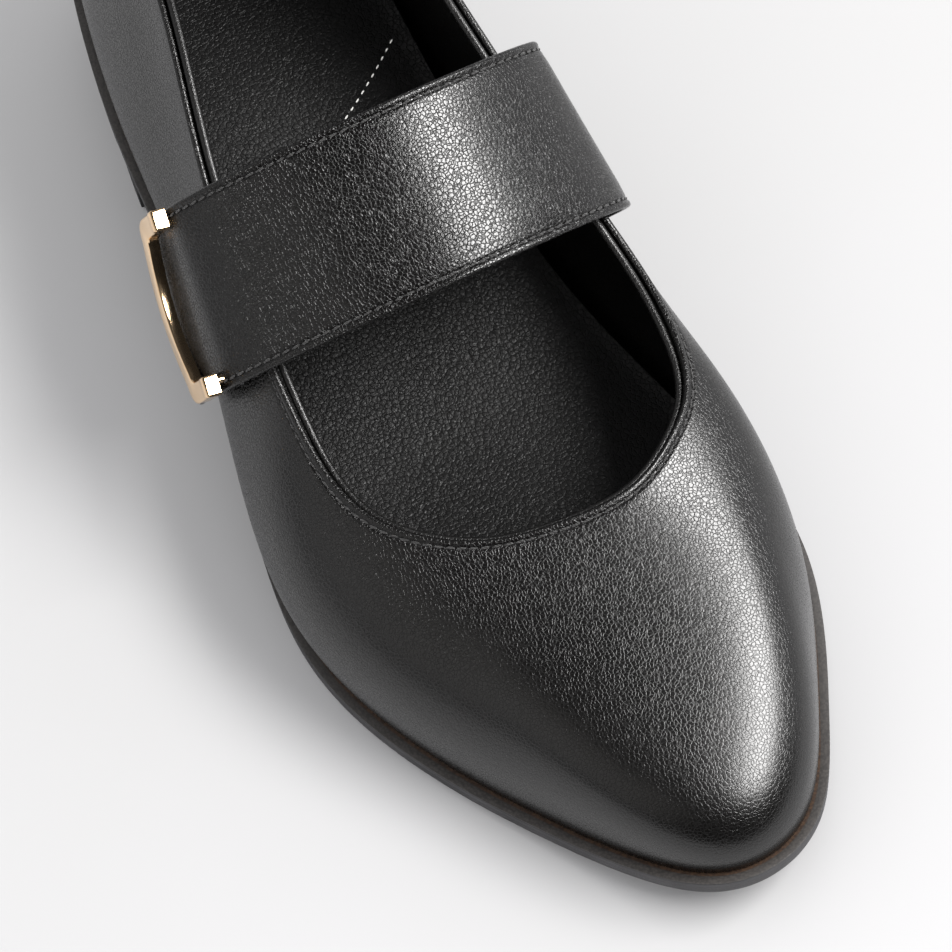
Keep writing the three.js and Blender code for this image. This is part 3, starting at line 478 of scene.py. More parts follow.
class Finish:
    """A material with a Principled shader, object coordinates and the shared effects at hand."""

    def __init__(self, name, **constants):
        self.material = bpy.data.materials.new(name)
        self.material.use_nodes = True
        self.tree = self.material.node_tree
        self.shader = self.tree.nodes["Principled BSDF"]
        for label, value in constants.items():
            self.shader.inputs[label.replace("_", " ")].default_value = value
        self.place = self.node("ShaderNodeTexCoord")["Object"]

    def node(self, kind, inputs=(), **settings):
        return add_node(self.tree, kind, inputs, **settings)

    def maths(self, operation, *inputs):
        return maths(self.tree, operation, *inputs)

    def noise(self, scale, detail, roughness=0.5, vector=None):
        return noise(self.tree, vector or self.place, scale, detail, roughness)["Fac"]

    def group(self, tree, **values):
        """A shared effect's outputs on this material's own coordinates."""
        inputs = {label.replace("_", " "): value for label, value in values.items()}
        return self.node("ShaderNodeGroup", {"Vector": self.place, **inputs}, node_tree=tree)

    def mix(self, fac, low, high):
        """A number or colour between two, by a mask; the first may come from other nodes."""
        if isinstance(high, float):
            return self.node("ShaderNodeMix", {0: fac, 2: low, 3: high}, data_type="FLOAT")[0]
        under = (*low, 1) if isinstance(low, tuple) else low
        return self.node("ShaderNodeMix", {0: fac, 6: under, 7: (*high, 1)}, data_type="RGBA")[2]

    def feed(self, label, source):
        self.tree.links.new(source, self.shader.inputs[label])

    def relief(self, height, depth):
        """Raises the surface by a height map of a depth in metres."""
        bump = self.node("ShaderNodeBump", {"Height": height, "Strength": 1.0, "Distance": depth})
        self.feed("Normal", bump[0])


def shades(colour, *factors):
    """A colour made darker or lighter by each factor."""
    return [tuple(c * factor for c in colour) for factor in factors]


CREASE_WIDTH = 0.15  # of the leather's creases, as a share of its pebbles
FINE_SHARE = 0.1  # height of the leather's fine grain, as a share of its pebbles


def leather(name, colour, roughness, pebble, depth, shine=0.4, smooth_toe=False):
    """Pebbled full-grain leather, a little duller down in the creases, with painted shade darkening its
    colour there.
    """
    finish = Finish(name, Specular_IOR_Level=shine)
    grain = finish.group(PEBBLES, Pebble_Size=pebble, Crease=CREASE_WIDTH, Wrinkle=0.25)
    fine = finish.group(PEBBLES, Pebble_Size=pebble * 0.45, Crease=0.25, Wrinkle=0.2)
    clouds = finish.group(CLOUDS, Patch_Size=0.03)
    # deep is the painted shade colour for the creases, 0.4 of the leather's own colour
    light, worn, deep = shades(colour, 1.3, 1.6, 0.4)
    shown = grain["Crease Mask"]
    height = finish.maths("MULTIPLY_ADD", fine["Height"], FINE_SHARE, grain["Height"])
    if smooth_toe:
        along = finish.node("ShaderNodeSeparateXYZ", {0: finish.place})[1]
        stretched = ramp(finish.tree, along, -0.125, -0.01, 0.4, 1.0)
        shown = finish.maths("MULTIPLY", shown, stretched)
        height = finish.maths("MULTIPLY", height, stretched)
    # Painted shade: the crease mask darkens the colour towards deep down in the creases
    crease_shaded_colour = finish.mix(shown, finish.mix(grain["Tone"], colour, light), deep)
    finish.feed("Base Color", finish.mix(finish.maths("MULTIPLY", clouds["Patches"], 0.35), crease_shaded_colour, worn))
    dull = finish.maths("MULTIPLY_ADD", shown, 0.16, roughness)
    dull = finish.maths("MULTIPLY_ADD", clouds["Patches"], 0.05, dull)
    finish.feed("Roughness", finish.maths("MULTIPLY_ADD", clouds["Specks"], 0.06, dull))
    finish.relief(height, depth)
    return finish.material


def thread_finish():
    finish = Finish("black_thread", Specular_IOR_Level=0.4, Sheen_Weight=0.3)
    wave = {"Vector": finish.place, "Scale": 900.0, "Distortion": 2.0}
    twist = finish.node("ShaderNodeTexWave", wave, bands_direction="DIAGONAL")["Fac"]
    finish.feed("Base Color", finish.mix(twist, (0.004, 0.004, 0.004), (0.02, 0.019, 0.018)))
    finish.feed("Roughness", finish.mix(twist, 0.7, 0.45))
    finish.relief(twist, 0.00008)
    return finish.material


def gold_finish():
    """Polished rose gold, with faint polishing lines and dulled specks."""
    finish = Finish("rose_gold", Metallic=1.0, Specular_IOR_Level=0.6)
    clouds = finish.group(CLOUDS, Patch_Size=0.006)
    stretched = finish.node("ShaderNodeMapping", {"Vector": finish.place, "Scale": (2500, 300, 2500)})[0]
    lines = finish.noise(1.0, 3.0, 0.6, stretched)
    finish.feed("Base Color", finish.mix(clouds["Patches"], (0.93, 0.66, 0.4), (0.96, 0.71, 0.46)))
    rough = finish.maths("MULTIPLY_ADD", lines, 0.08, 0.1)
    finish.feed("Roughness", finish.maths("MULTIPLY_ADD", clouds["Specks"], 0.06, rough))
    finish.relief(lines, 0.000004)
    return finish.material


def rubber(name, colour, roughness, line_size=None):
    """Moulded or trimmed rubber: fine lines along its edge, where it has them, and a dusty, pored face."""
    finish = Finish(name, Specular_IOR_Level=0.4)
    clouds = finish.group(CLOUDS, Patch_Size=0.012)
    pores = finish.noise(2600.0, 4.0)
    pale, dark = shades(colour, 1.5, 0.55)
    shade, height = finish.mix(clouds["Patches"], colour, pale), pores
    if line_size:
        edge = finish.node("ShaderNodeUVMap", uv_map="edge")[0]
        drawn = finish.node("ShaderNodeMapping", {"Vector": edge, "Scale": (8.0, 1 / line_size, 1.0)})[0]
        lines = finish.noise(1.0, 3.0, 0.65, drawn)
        height = finish.maths("MULTIPLY_ADD", lines, 2.5, pores)
        streaks = finish.maths("MULTIPLY", ramp(finish.tree, lines, 0.42, 0.62), 0.45)
        shade = finish.mix(streaks, shade, dark)
    finish.feed("Base Color", shade)
    finish.feed("Roughness", finish.maths("MULTIPLY_ADD", pores, 0.25, roughness))
    finish.relief(height, 0.00003)
    return finish.material


def fibrous(name, colour, dark, size, roughness, depth, metal=0.0):
    """Boards, cork, foam and brushed steel: a mottled body with a fine rough face."""
    finish = Finish(name, Metallic=metal)
    cells = finish.node("ShaderNodeTexVoronoi", {"Vector": finish.place, "Scale": 1 / size})["Distance"]
    fibres = finish.noise(2.5 / size, 5.0, 0.7)
    mottle = finish.maths("MULTIPLY", cells, fibres)
    finish.feed("Base Color", finish.mix(ramp(finish.tree, mottle, 0.05, 0.45), colour, dark))
    finish.feed("Roughness", finish.maths("MULTIPLY_ADD", fibres, 0.2, roughness))
    finish.relief(mottle, depth)
    return finish.material


GLOSS = 0.62  # how strongly the polished leather mirrors
BLACK = (0.0017, 0.0015, 0.0014)
UPPER = leather("pebbled_upper_leather", BLACK, 0.21, 0.00068, 0.000034, GLOSS, smooth_toe=True)
STRAP = leather("pebbled_strap_leather", BLACK, 0.16, 0.00072, 0.000048, GLOSS)
LINING_LEATHER = leather("lining_leather", (0.0026, 0.0023, 0.0021), 0.42, 0.0007, 0.00003)
SOCK_LEATHER = leather("sock_leather", (0.0028, 0.0027, 0.0027), 0.36, 0.00095, 0.00008)
EDGE_BINDING = leather("binding_leather", (0.003, 0.0028, 0.0026), 0.25, 0.0006, 0.00002, GLOSS)
THREAD_BLACK = thread_finish()
ROSE_GOLD = gold_finish()
SOLE_RUBBER = rubber("sole_rubber", (0.034, 0.033, 0.035), 0.5, line_size=0.00035)
HEEL_RUBBER = rubber("heel_stack", (0.03, 0.029, 0.031), 0.5, line_size=0.0005)
LIFT_RUBBER = rubber("top_lift_rubber", (0.016, 0.016, 0.017), 0.62)
RAND_LEATHER = fibrous("rand_leather", (0.036, 0.032, 0.029), (0.018, 0.016, 0.015), 0.0005, 0.5, 0.00003)
RAND_UNDYED = fibrous("undyed_rand", (0.05, 0.027, 0.014), (0.02, 0.011, 0.007), 0.0006, 0.5, 0.00003)
BOARD_FIBRE = fibrous("insole_fibreboard", (0.3, 0.22, 0.14), (0.2, 0.14, 0.09), 0.0008, 0.8, 0.00005)
STIFFENER_FELT = fibrous("stiffener_felt", (0.48, 0.44, 0.38), (0.36, 0.33, 0.28), 0.0005, 0.8, 0.00004)
CORK = fibrous("cork_filler", (0.34, 0.19, 0.09), (0.13, 0.07, 0.035), 0.0016, 0.85, 0.0001)
FOAM_CELLS = fibrous("footbed_foam", (0.1, 0.1, 0.105), (0.05, 0.05, 0.053), 0.0007, 0.9, 0.00012)
STEEL = fibrous("bright_steel", (0.55, 0.56, 0.57), (0.42, 0.43, 0.44), 0.0012, 0.25, 0.000006, metal=1.0)
TAPE = fibrous("touch_fastener_tape", (0.012, 0.012, 0.012), (0.005, 0.005, 0.005), 0.0004, 0.85, 0.00005)
PRINT = fibrous("printed_grey", (0.85, 0.84, 0.8), (0.6, 0.6, 0.57), 0.0003, 0.7, 0.00001)


# ---- Stitches, studs and hooks ----
def instance_tree(name, inputs):
    """A tree that sets a small shape on each point of a path or a field of points, turned to its surface."""
    sockets = [("Geometry", "NodeSocketGeometry", None), ("Material", "NodeSocketMaterial", None)]
    sockets += [(label, "NodeSocketFloat", value) for label, value in inputs]
    tree, given, result = new_tree(name, "GeometryNodeTree", sockets, [("Geometry", "NodeSocketGeometry")])

    def finish(points, shape, along, slant=None):
        out = add_node(tree, "GeometryNodeInputNamedAttribute", {"Name": "out"}, data_type="FLOAT_VECTOR")[0]
        axes = {"Primary Axis": out, "Secondary Axis": along}
        turn = add_node(tree, "FunctionNodeAxesToRotation", axes, primary_axis="Z", secondary_axis="X")[0]
        if slant is not None:
            turns = {"Rotation": turn, "Rotate By": slant}
            turn = add_node(tree, "FunctionNodeRotateRotation", turns, rotation_space="LOCAL")[0]
        inputs = {"Points": points, "Instance": shape, "Rotation": turn}
        placed = add_node(tree, "GeometryNodeInstanceOnPoints", inputs)[0]
        real = add_node(tree, "GeometryNodeRealizeInstances", {0: placed})[0]
        smooth = add_node(tree, "GeometryNodeSetShadeSmooth", {0: real})[0]
        coated = add_node(tree, "GeometryNodeSetMaterial", {0: smooth, "Material": given["Material"]})[0]
        tree.links.new(coated, result[0])
        return tree

    return tree, given, finish


def make_stitch_tree():
    """Stitches of a length at a pitch along a path, each a slim rounded thread, a little slanted."""
    sizes = [("Pitch", 0.0021), ("Stitch Length", 0.0017), ("Thread", 0.0004), ("Rise", 0.6), ("Slant", 0.12)]
    tree, given, finish = instance_tree("stitch_row", sizes)
    path = add_node(tree, "GeometryNodeMeshToCurve", {0: given["Geometry"]})[0]
    spacing = {"Curve": path, "Length": given["Pitch"]}
    spaced = add_node(tree, "GeometryNodeResampleCurve", spacing, mode="LENGTH")[0]
    ball = add_node(tree, "GeometryNodeMeshUVSphere", {"Segments": 8, "Rings": 6, "Radius": 0.5})[0]
    height = maths(tree, "MULTIPLY", given["Thread"], given["Rise"])
    size = combine(tree, given["Stitch Length"], given["Thread"], height)
    thread = add_node(tree, "GeometryNodeTransform", {0: ball, "Scale": size})[0]
    tangent = add_node(tree, "GeometryNodeInputTangent")[0]
    slant = add_node(tree, "FunctionNodeEulerToRotation", {0: combine(tree, z=given["Slant"])})[0]
    return finish(spaced, thread, tangent, slant)


def make_stud_tree():
    """Round studs standing on a sole."""
    tree, given, finish = instance_tree("tread_studs", [("Radius", 0.0016), ("Height", 0.0008)])
    size = {"Radius": given["Radius"], "Depth": given["Height"], "Vertices": 14}
    stud = add_node(tree, "GeometryNodeMeshCylinder", size)[0]
    return finish(given["Geometry"], stud, combine(tree, x=1.0))


def make_pile_tree():
    """The hooks or the loops of a touch fastener: small bent threads turned every way by a fixed seed."""
    sizes = [("Height", 0.0005), ("Thread", 0.00008), ("Spread", 3.14), ("Bend", 1.2)]
    tree, given, finish = instance_tree("fastener_pile", sizes)
    bend = {"Sweep Angle": given["Bend"], "Resolution": 7, "Radius": 1.0}
    arc = add_node(tree, "GeometryNodeCurveArc", bend)[0]
    size = combine(tree, maths(tree, "MULTIPLY", given["Height"], 0.5), given["Height"], given["Height"])
    upright = {0: arc, "Scale": size, "Rotation": (math.pi / 2, 0.0, 0.0)}
    stood = add_node(tree, "GeometryNodeTransform", upright)[0]
    ring = add_node(tree, "GeometryNodeCurvePrimitiveCircle", {"Radius": given["Thread"], "Resolution": 4})[0]
    section = {"Curve": stood, "Profile Curve": ring, "Fill Caps": True}
    wire = add_node(tree, "GeometryNodeCurveToMesh", section)[0]
    spread = {3: given["Spread"], "Seed": 7}
    angle = add_node(tree, "FunctionNodeRandomValue", spread, data_type="FLOAT")[1]
    slant = add_node(tree, "FunctionNodeEulerToRotation", {0: combine(tree, z=angle)})[0]
    return finish(given["Geometry"], wire, combine(tree, x=1.0), slant)


STITCHES = make_stitch_tree()
STUDS = make_stud_tree()
PILE = make_pile_tree()


def from_tree(name, tree, points, normals, material, edges=(), **values):
    """A plain mesh grown by a tree on points in millimetres that carry the direction out of their surface."""
    mesh = bpy.data.meshes.new(name)
    mesh.from_pydata(((points + SHIFT) * MM).tolist(), list(edges), [])
    out = mesh.attributes.new("out", "FLOAT_VECTOR", "POINT")
    out.data.foreach_set("vector", np.asarray(normals, np.float32).ravel())
    piece = new_object(name, mesh)
    grown = piece.modifiers.new("grown", "NODES")
    grown.node_group = tree
    for socket in tree.interface.items_tree:
        label = socket.name.replace(" ", "_")
        if socket.name == "Material":
            grown[socket.identifier] = material
        elif label in values:
            grown[socket.identifier] = float(values[label])
    fix_modifiers(piece)
    piece.data.name = name
    return piece


def stitch_rows(
    name, rows, pitch=STITCH_PITCH, length=STITCH_LENGTH, thread=THREAD, material=THREAD_BLACK,
    slant=STITCH_SLANT,
):
    """Several rows of stitches in one piece; each row is its points and the directions out of the leather."""
    points = np.concatenate([row[0] for row in rows])
    normals = np.concatenate([row[1] for row in rows])
    edges, start = [], 0
    for row in rows:
        edges += [(start + k, start + k + 1) for k in range(len(row[0]) - 1)]
        start += len(row[0])
    sizes = {"Pitch": pitch * MM, "Stitch_Length": length * MM, "Thread": thread * MM, "Slant": slant}
    return from_tree(name, STITCHES, points, normals, material, edges, **sizes)


# ---- Upper ----
TOP_DISTANCES = np.array([
    7.2, 6, 5, 4.2, 3.5, 2.9, 2.5, 2.2, 2.0, 1.85, 1.7, 1.55, 1.4, 1.2, 0.95, 0.7, 0.5, 0.35, 0.2, 0.1,
    0.03, 0,
])
LINING_DISTANCES = np.array([3.5, 2.6, 2.1, 1.8, 1.65, 1.6])
SEAM_DISTANCES = np.array([0, 0.06, 0.2, 0.4, 0.7, 1.1, 1.5, 1.7, 1.9, 2.1, 2.3, 2.7, 3.3])
FAR = 99.0  # stands for the distance from the topline of the rows well below it


def seam_speed(u, t):
    """Millimetres round the upper for one station, at height t."""
    step = 0.01
    return np.linalg.norm(upper_point(u + step, t) - upper_point(u - step, t), axis=-1) / (2 * step)


def upper_stations(start, stop):
    """Stations between two seams, closer together beside them."""
    near = SEAM_DISTANCES / seam_speed(start, 0.6)
    far = SEAM_DISTANCES / seam_speed(stop, 0.6)
    middle = around(start + near[-1], stop - far[-1])
    return np.concatenate([start + near[:-1], middle, (stop - far[:-1])[::-1]])


def rounding(distance, radius):
    """Depth below the face of an edge rounded to a radius, at a distance from the edge."""
    inside = np.clip(radius - distance, 0, radius)
    return radius - np.sqrt(radius**2 - inside**2)


def panel_heights(u, distances, rows):
    """Each row's t up a panel, and its distance from the topline."""
    top = share_below_topline(u, distances[None, :])
    low = np.linspace(0.004, 1, rows)[None, :-1] * top[:, :1]
    below = np.concatenate([np.full(rows - 1, FAR), distances])[None, :]
    return np.concatenate([low, top], 1), below


def upper_panel(name, node, start, stop):
    """A leather panel of the upper, folded at the topline and at its seams and pulled in by its stitches."""
    u = upper_stations(start, stop)[:, None]
    t, below = panel_heights(u, TOP_DISTANCES, 22)
    beside = np.minimum((u - start) * seam_speed(start, t), (stop - u) * seam_speed(stop, t))
    half = LEATHER / 2
    relief = edge_groove(below) + edge_groove(beside, SEAM_ROW) * ease((below - 1) / 2)
    corner = np.maximum(rounding(below, half), rounding(beside, half * 0.7))
    outer = wall_point(u, t, corner - relief)
    inner = wall_point(u, t, LEATHER - rounding(below, half) - rounding(beside, 0.2))
    margin = [foot_point(u, -out, up)[:, 0] for out, up in ((LASTING_MARGIN, 0), (1.4, 0), (0.4, 0.02))]
    turned = [
        foot_point(u, -out, up)[:, 0]
        for out, up in ((LASTING_MARGIN, LEATHER), (LEATHER + 0.6, LEATHER), (LEATHER + 0.1, LEATHER + 0.1))
    ]
    outer = np.concatenate([np.stack(margin, 1), outer], 1)
    inner = np.concatenate([np.stack(turned, 1), inner], 1)
    panel = swept(name, paired(outer, inner), UPPER, smooth_angle=60)
    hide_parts(node)
    return panel


def lining_panel(name, node, start, stop):
    """A lining panel, which bulges in over the stiffeners and ends a little below the topline."""
    u = around(start, stop, 1 / 10)[:, None]
    t, below = panel_heights(u, LINING_DISTANCES, 24)
    depth = lining_depth(u, t)
    edge = rounding(below - LINING_DROP, LINING / 2)
    outer = wall_point(u, t, depth + edge)
    inner = wall_point(u, t, depth + LINING - edge)
    bottom = lining_depth(u, 0.0)[:, 0]
    outer = np.concatenate([foot_point(u[:, 0], -LASTING_MARGIN, bottom)[:, None], outer], 1)
    inner = np.concatenate([foot_point(u[:, 0], -LASTING_MARGIN, bottom + LINING)[:, None], inner], 1)
    panel = swept(name, paired(outer, inner), LINING_LEATHER, smooth_angle=60)
    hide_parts(node)
    return panel


def side_seam(u, t_from=0.02, t_to=0.93):
    """Rows of stitches each side of an upright seam."""
    rows = []
    for side in (-1, 1):
        t = np.linspace(t_from, t_to, 60)
        at = u + side * SEAM_ROW / seam_speed(u, t)
        rows.append((wall_point(at, t, np.full(60, THREAD_SUNK)), upper_normal(at, t)))
    return rows


def make_upper():
    gap = {seam: station_past(seam, SEAM_HALF) - seam for seam in (0, LATERAL_SEAM, MEDIAL_SEAM)}
    lateral, medial = LATERAL_SEAM, MEDIAL_SEAM
    panels = [
        upper_panel("vamp_leather", "vamp", lateral + gap[lateral], medial - gap[medial]),
        upper_panel("quarter_lateral_leather", "quarter_lateral", gap[0], lateral - gap[lateral]),
        upper_panel("quarter_medial_leather", "quarter_medial", medial + gap[medial], STATION_COUNT - gap[0]),
        lining_panel("vamp_lining_leather", "vamp_lining", lateral, medial),
        lining_panel("quarter_lining_leather", "quarter_lining", medial, STATION_COUNT + lateral),
    ]

    u = around(0, STATION_COUNT)[:-1]
    angle = np.linspace(0, 2 * math.pi, 13)[:-1]
    centre = wall_point(u, np.ones_like(u), np.full_like(u, LEATHER + GAP + BINDING_RADIUS))
    normal = upper_normal(u, 1.0)
    rise = upper_rise(u, 1.0)
    bead = (
        centre[:, None]
        + BINDING_RADIUS * np.cos(angle)[None, :, None] * normal[:, None]
        + BINDING_RADIUS * np.sin(angle)[None, :, None] * rise[:, None]
    )
    binding = swept("topline_bead", bead, EDGE_BINDING, closed=True)
    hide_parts("topline_binding")

    u = np.linspace(0, STATION_COUNT, 900)
    t = share_below_topline(u, EDGE_BAND)
    row = (wall_point(u, t, np.full_like(u, THREAD_SUNK)), upper_normal(u, t))
    seams = side_seam(0.0) + side_seam(LATERAL_SEAM) + side_seam(MEDIAL_SEAM)
    stitches = stitch_rows("upper_stitches", [row] + seams)
    return [*panels, binding, stitches]


# ---- Flat layers that follow the last's outline ----
def rungs(back=None, out=0.0, count=150):
    """Matching stations on the outer and the inner side, from the heel back to the toe or to a cut."""
    if back is None:
        share = np.linspace(0, 1, count + 1)
        return share * STATION_COUNT / 2, STATION_COUNT - share * STATION_COUNT / 2
    sides = []
    for start, stop in ((0, 6), (STATION_COUNT, 14)):
        u = np.linspace(start, stop, 2000)
        s = last_at(u)[1] + outward(u)[1] * out
        sides.append(np.linspace(start, np.interp(back, s, u), count + 1))
    return sides


def layer(name, material, edge, level, columns=10, inset=None, dish=None, back=None, bow=0.0):
    """A layer between matching stations. edge lists (out, height) from its top face to its underside."""
    lateral, medial = rungs(back, edge[len(edge) // 2][0])
    outs = np.array([out for out, _ in edge])
    heights = [height for _, height in edge]

    def side(u):
        nx, ns = outward(u)
        row = last_at(u)
        shift = outs[None, :] - (inset(u)[:, None] if inset else 0)
        x = row[0][:, None] + nx[:, None] * shift
        s = row[1][:, None] + ns[:, None] * shift
        z = np.stack([level(s[:, k], height) for k, height in enumerate(heights)], 1)
        return x, s, z

    def across(start, stop, height, k):
        share = np.linspace(0, 1, columns + 2)[None, 1:-1]
        x = start[0][:, k, None] * (1 - share) + stop[0][:, k, None] * share
        s = start[1][:, k, None] * (1 - share) + stop[1][:, k, None] * share
        z = level(s, height) + (dish(share, s) if dish else 0)
        return x, s, z

    one, other = side(lateral), side(medial)
    under = across(one, other, heights[-1], -1)
    over = across(other, one, heights[0], 0)
    flipped = tuple(part[:, ::-1] for part in other)
    x, s, z = (np.concatenate([one[i], under[i], flipped[i], over[i]], 1) for i in range(3))
    if bow:
        middle = (x[-1].max() + x[-1].min()) / 2
        reach = (x[-1].max() - x[-1].min()) / 2
        near = np.linspace(0, 1, len(x))[:, None] ** 12
        s = s - bow * near * (1 - ((x - middle) / reach) ** 2)
    sections = place(x, s, z)
    count, size = sections.shape[:2]
    faces = loop_faces(count, size, False, capped=False)
    if back is not None:
        faces.append([(count - 1) * size + j for j in range(size)])
    return piece_from(name, sections.reshape(-1, 3), faces, material), one, other


def above_feather(s, height):
    return ground_line(s) + SOLE_THICKNESS + height


def above_ground(s, height):
    return ground_line(s) + height


def above_floor(s, height):
    return height + 0 * s


def add_edge_lines(piece):
    """A UV map whose second axis is height above the sole's underside, so that edge lines follow the sole."""
    mesh = piece.data
    points = np.empty(len(mesh.vertices) * 3, np.float32)
    mesh.vertices.foreach_get("co", points)
    points = points.reshape(-1, 3)
    s = SHOE_LENGTH / 2 - (points[:, 1] / MM - SHIFT[1])
    height = points[:, 2] - np.where(s > HEEL_BREAST + 1, ground_line(s) * MM, 0)
    along = np.arctan2(points[:, 0], points[:, 1]) * 0.12
    loops = np.empty(len(mesh.loops), int)
    mesh.loops.foreach_get("vertex_index", loops)
    mesh.uv_layers.new(name="edge").data.foreach_set("uv", np.stack([along, height], -1)[loops].ravel())


def make_bottom():
    """The outsole with its tread, the rand, the stacked heel and its top lift."""
    rim, deep = -TREAD_RIM, TREAD_DEPTH
    sole_top = SOLE_THICKNESS - GAP - RAND_SHOWN
    sole_edge = [
        (-9, sole_top), (1.6, sole_top), (1.95, sole_top - 0.05), (2.13, sole_top - 0.2),
        (2.2, sole_top - 0.5), (2.2, 2.2), (2.15, 0.9), (2.0, 0.35), (1.75, 0.1), (1.35, 0),
        (rim, 0), (rim - 0.15, 0.1), (rim - 0.4, deep),
    ]
    sole, *sole_sides = layer("outsole_rubber", SOLE_RUBBER, sole_edge, above_ground, columns=14)
    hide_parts("outsole")
    add_edge_lines(sole)

    u = around(0, STATION_COUNT, 1 / 14)[:-1]
    high, low = -GAP, -GAP - RAND_SHOWN + 0.03
    strip = [(2.0, high), (2.22, high - 0.12), (2.22, low + 0.1), (2.0, low)]
    strip += [(SOLE_MARGIN - RAND_WIDTH, low), (SOLE_MARGIN - RAND_WIDTH, high), (RAND_SEAM, high)]
    rand = swept("rand_strip", np.stack([foot_point(u, out, up) for out, up in strip], 1), RAND_LEATHER, True)
    rand.data.materials.append(RAND_UNDYED)
    for face in rand.data.polygons:
        face.material_index = 1 if face.index % len(strip) == len(strip) - 2 else 0
    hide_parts("sole_rand")

    def heel_level(s, share):
        low, high = TOP_LIFT + GAP, ground_line(s) - GAP
        return low + (high - low) * share

    def tapered(share):
        return SOLE_MARGIN - HEEL_TAPER * (1 - share) - 0.5 * math.sin(math.pi * share)

    heel_edge = [(-6, 1.0), (1.7, 1.0), (SOLE_MARGIN - 0.1, 0.985)]
    heel_edge += [(tapered(share), share) for share in np.linspace(0.96, 0.04, 12)]
    heel_edge += [(tapered(0) - 0.1, 0.012), (tapered(0) - 0.5, 0), (-6, 0)]
    heel, *_ = layer("heel_block_stack", HEEL_RUBBER, heel_edge, heel_level, back=HEEL_BREAST, bow=HEEL_BOW)
    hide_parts("heel_block")
    add_edge_lines(heel)

    wide = SOLE_MARGIN - HEEL_TAPER
    lift_edge = [
        (-6, TOP_LIFT), (wide - 0.3, TOP_LIFT), (wide, TOP_LIFT - 0.3), (wide + 0.02, 3), (wide, 0.5),
        (wide - 0.15, 0.15), (wide - 0.5, 0), (-3.2, 0), (-3.4, 0.1), (-3.7, deep),
    ]
    lift, *lift_sides = layer("top_lift", LIFT_RUBBER, lift_edge, above_floor, back=HEEL_BREAST, bow=HEEL_BOW)
    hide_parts("heel_top_lift")

    sole_studs = stud_field("sole_studs", *sole_sides, SOLE_TREAD, above_ground, SOLE_RUBBER)
    lift_studs = stud_field("lift_studs", *lift_sides, LIFT_TREAD, above_floor, LIFT_RUBBER)
    return [sole, rand, heel, lift, sole_studs, lift_studs]


def stud_field(name, one, other, reach, level, material):
    """Rows of studs in the recessed field of a sole, each second row shifted by half a step."""
    step, radius, margin = 5.2, 1.55, 2.6
    points = []
    lateral_s, medial_s = one[1][:, -1], other[1][:, -1]
    for k, s in enumerate(np.arange(reach[0], reach[1], step * math.sqrt(3) / 2)):
        left = np.interp(s, lateral_s, one[0][:, -1]) + margin
        right = np.interp(s, medial_s, other[0][:, -1]) - margin
        first = math.ceil(left / step - k % 2 / 2)
        x = (np.arange(first, first + 40) + k % 2 / 2) * step
        x = x[x < right]
        points += [(across, s) for across in x]
    x, s = np.array(points).T
    centres = place(x, s, level(s, TREAD_DEPTH / 2 + 0.05))
    normals = np.tile((0.0, 0.0, -1.0), (len(x), 1))
    return from_tree(name, STUDS, centres, normals, material, Radius=radius * MM, Height=TREAD_DEPTH * MM)


def make_footbed():
    """The padded foam and the leather sock over it, dished under the foot and turned up at the wall."""

    def inset(u):
        return CAVITY_INSET + LEAN_SHARE * last_at(u)[7]

    def dish(share, s):
        across = np.sin(math.pi * share)
        ball = np.exp(-(((s - 175) / 38) ** 2))
        heel = np.exp(-(((s - 34) / 26) ** 2))
        arch = np.exp(-(((s - 105) / 28) ** 2)) * np.clip(share - 0.5, 0, 1)
        return 1.3 * arch * across - (0.55 + 0.6 * ball + 0.7 * heel) * across

    def foam_dish(share, s):
        return 0.3 * dish(share, s)

    top = FOAM_TOP + GAP + SOCK
    sock_edge = [
        (-6, top), (-2.5, top + 0.1), (-1.0, top + 0.5), (0.0, top + 1.0), (0.45, top + 1.15),
        (0.55, top + 0.95), (0.5, top + 0.3), (0.2, top - SOCK + 0.1), (-1.0, top - SOCK), (-6, top - SOCK),
    ]
    sock, *_ = layer("sock", SOCK_LEATHER, sock_edge, above_feather, 24, inset, dish)
    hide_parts("sock_lining")

    middle = (FOAM_TOP + FOAM_BOTTOM) / 2
    foam_edge = [
        (-6, FOAM_TOP - 0.05), (-1.5, FOAM_TOP - 0.15), (-0.3, FOAM_TOP - 0.5), (0.1, middle + 0.5),
        (0.15, middle), (0.0, middle - 0.8), (-0.4, FOAM_BOTTOM + 0.1), (-1, FOAM_BOTTOM), (-6, FOAM_BOTTOM),
    ]
    foam, *_ = layer("footbed_cushion", FOAM_CELLS, foam_edge, above_feather, 24, inset, foam_dish)
    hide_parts("footbed_foam")

    # A short arc of dashes printed across the waist of the sock.
    corners = [vertex.co for vertex in sock.data.vertices]
    surface = BVHTree.FromPolygons(corners, [face.vertices for face in sock.data.polygons])
    t = np.linspace(0, 1, 60)
    across = DASH_START[0] + (DASH_END[0] - DASH_START[0]) * t
    along = DASH_START[1] + (DASH_END[1] - DASH_START[1]) * t - DASH_BOW * 4 * t * (1 - t)
    hits = [surface.ray_cast(Vector((x, y, 100)) * MM, Vector((0, 0, -1)))[:2] for x, y in zip(across, along)]
    points = np.array([hit[0] for hit in hits]) / MM - SHIFT
    normals = np.array([hit[1] for hit in hits])
    dashes = stitch_rows("sock_dashes", [(points, normals)], 1.9, 1.05, 0.36, PRINT, 0.0)
    return [sock, foam, dashes]


# ---- Strap ----
def strap_s(w, drop):
    return STRAP_PLACE + w * math.cos(STRAP_TILT) - drop * math.sin(STRAP_TILT)


def strap_z(w, drop):
    return STRAP_CROWN - w * math.sin(STRAP_TILT) - drop * math.cos(STRAP_TILT)


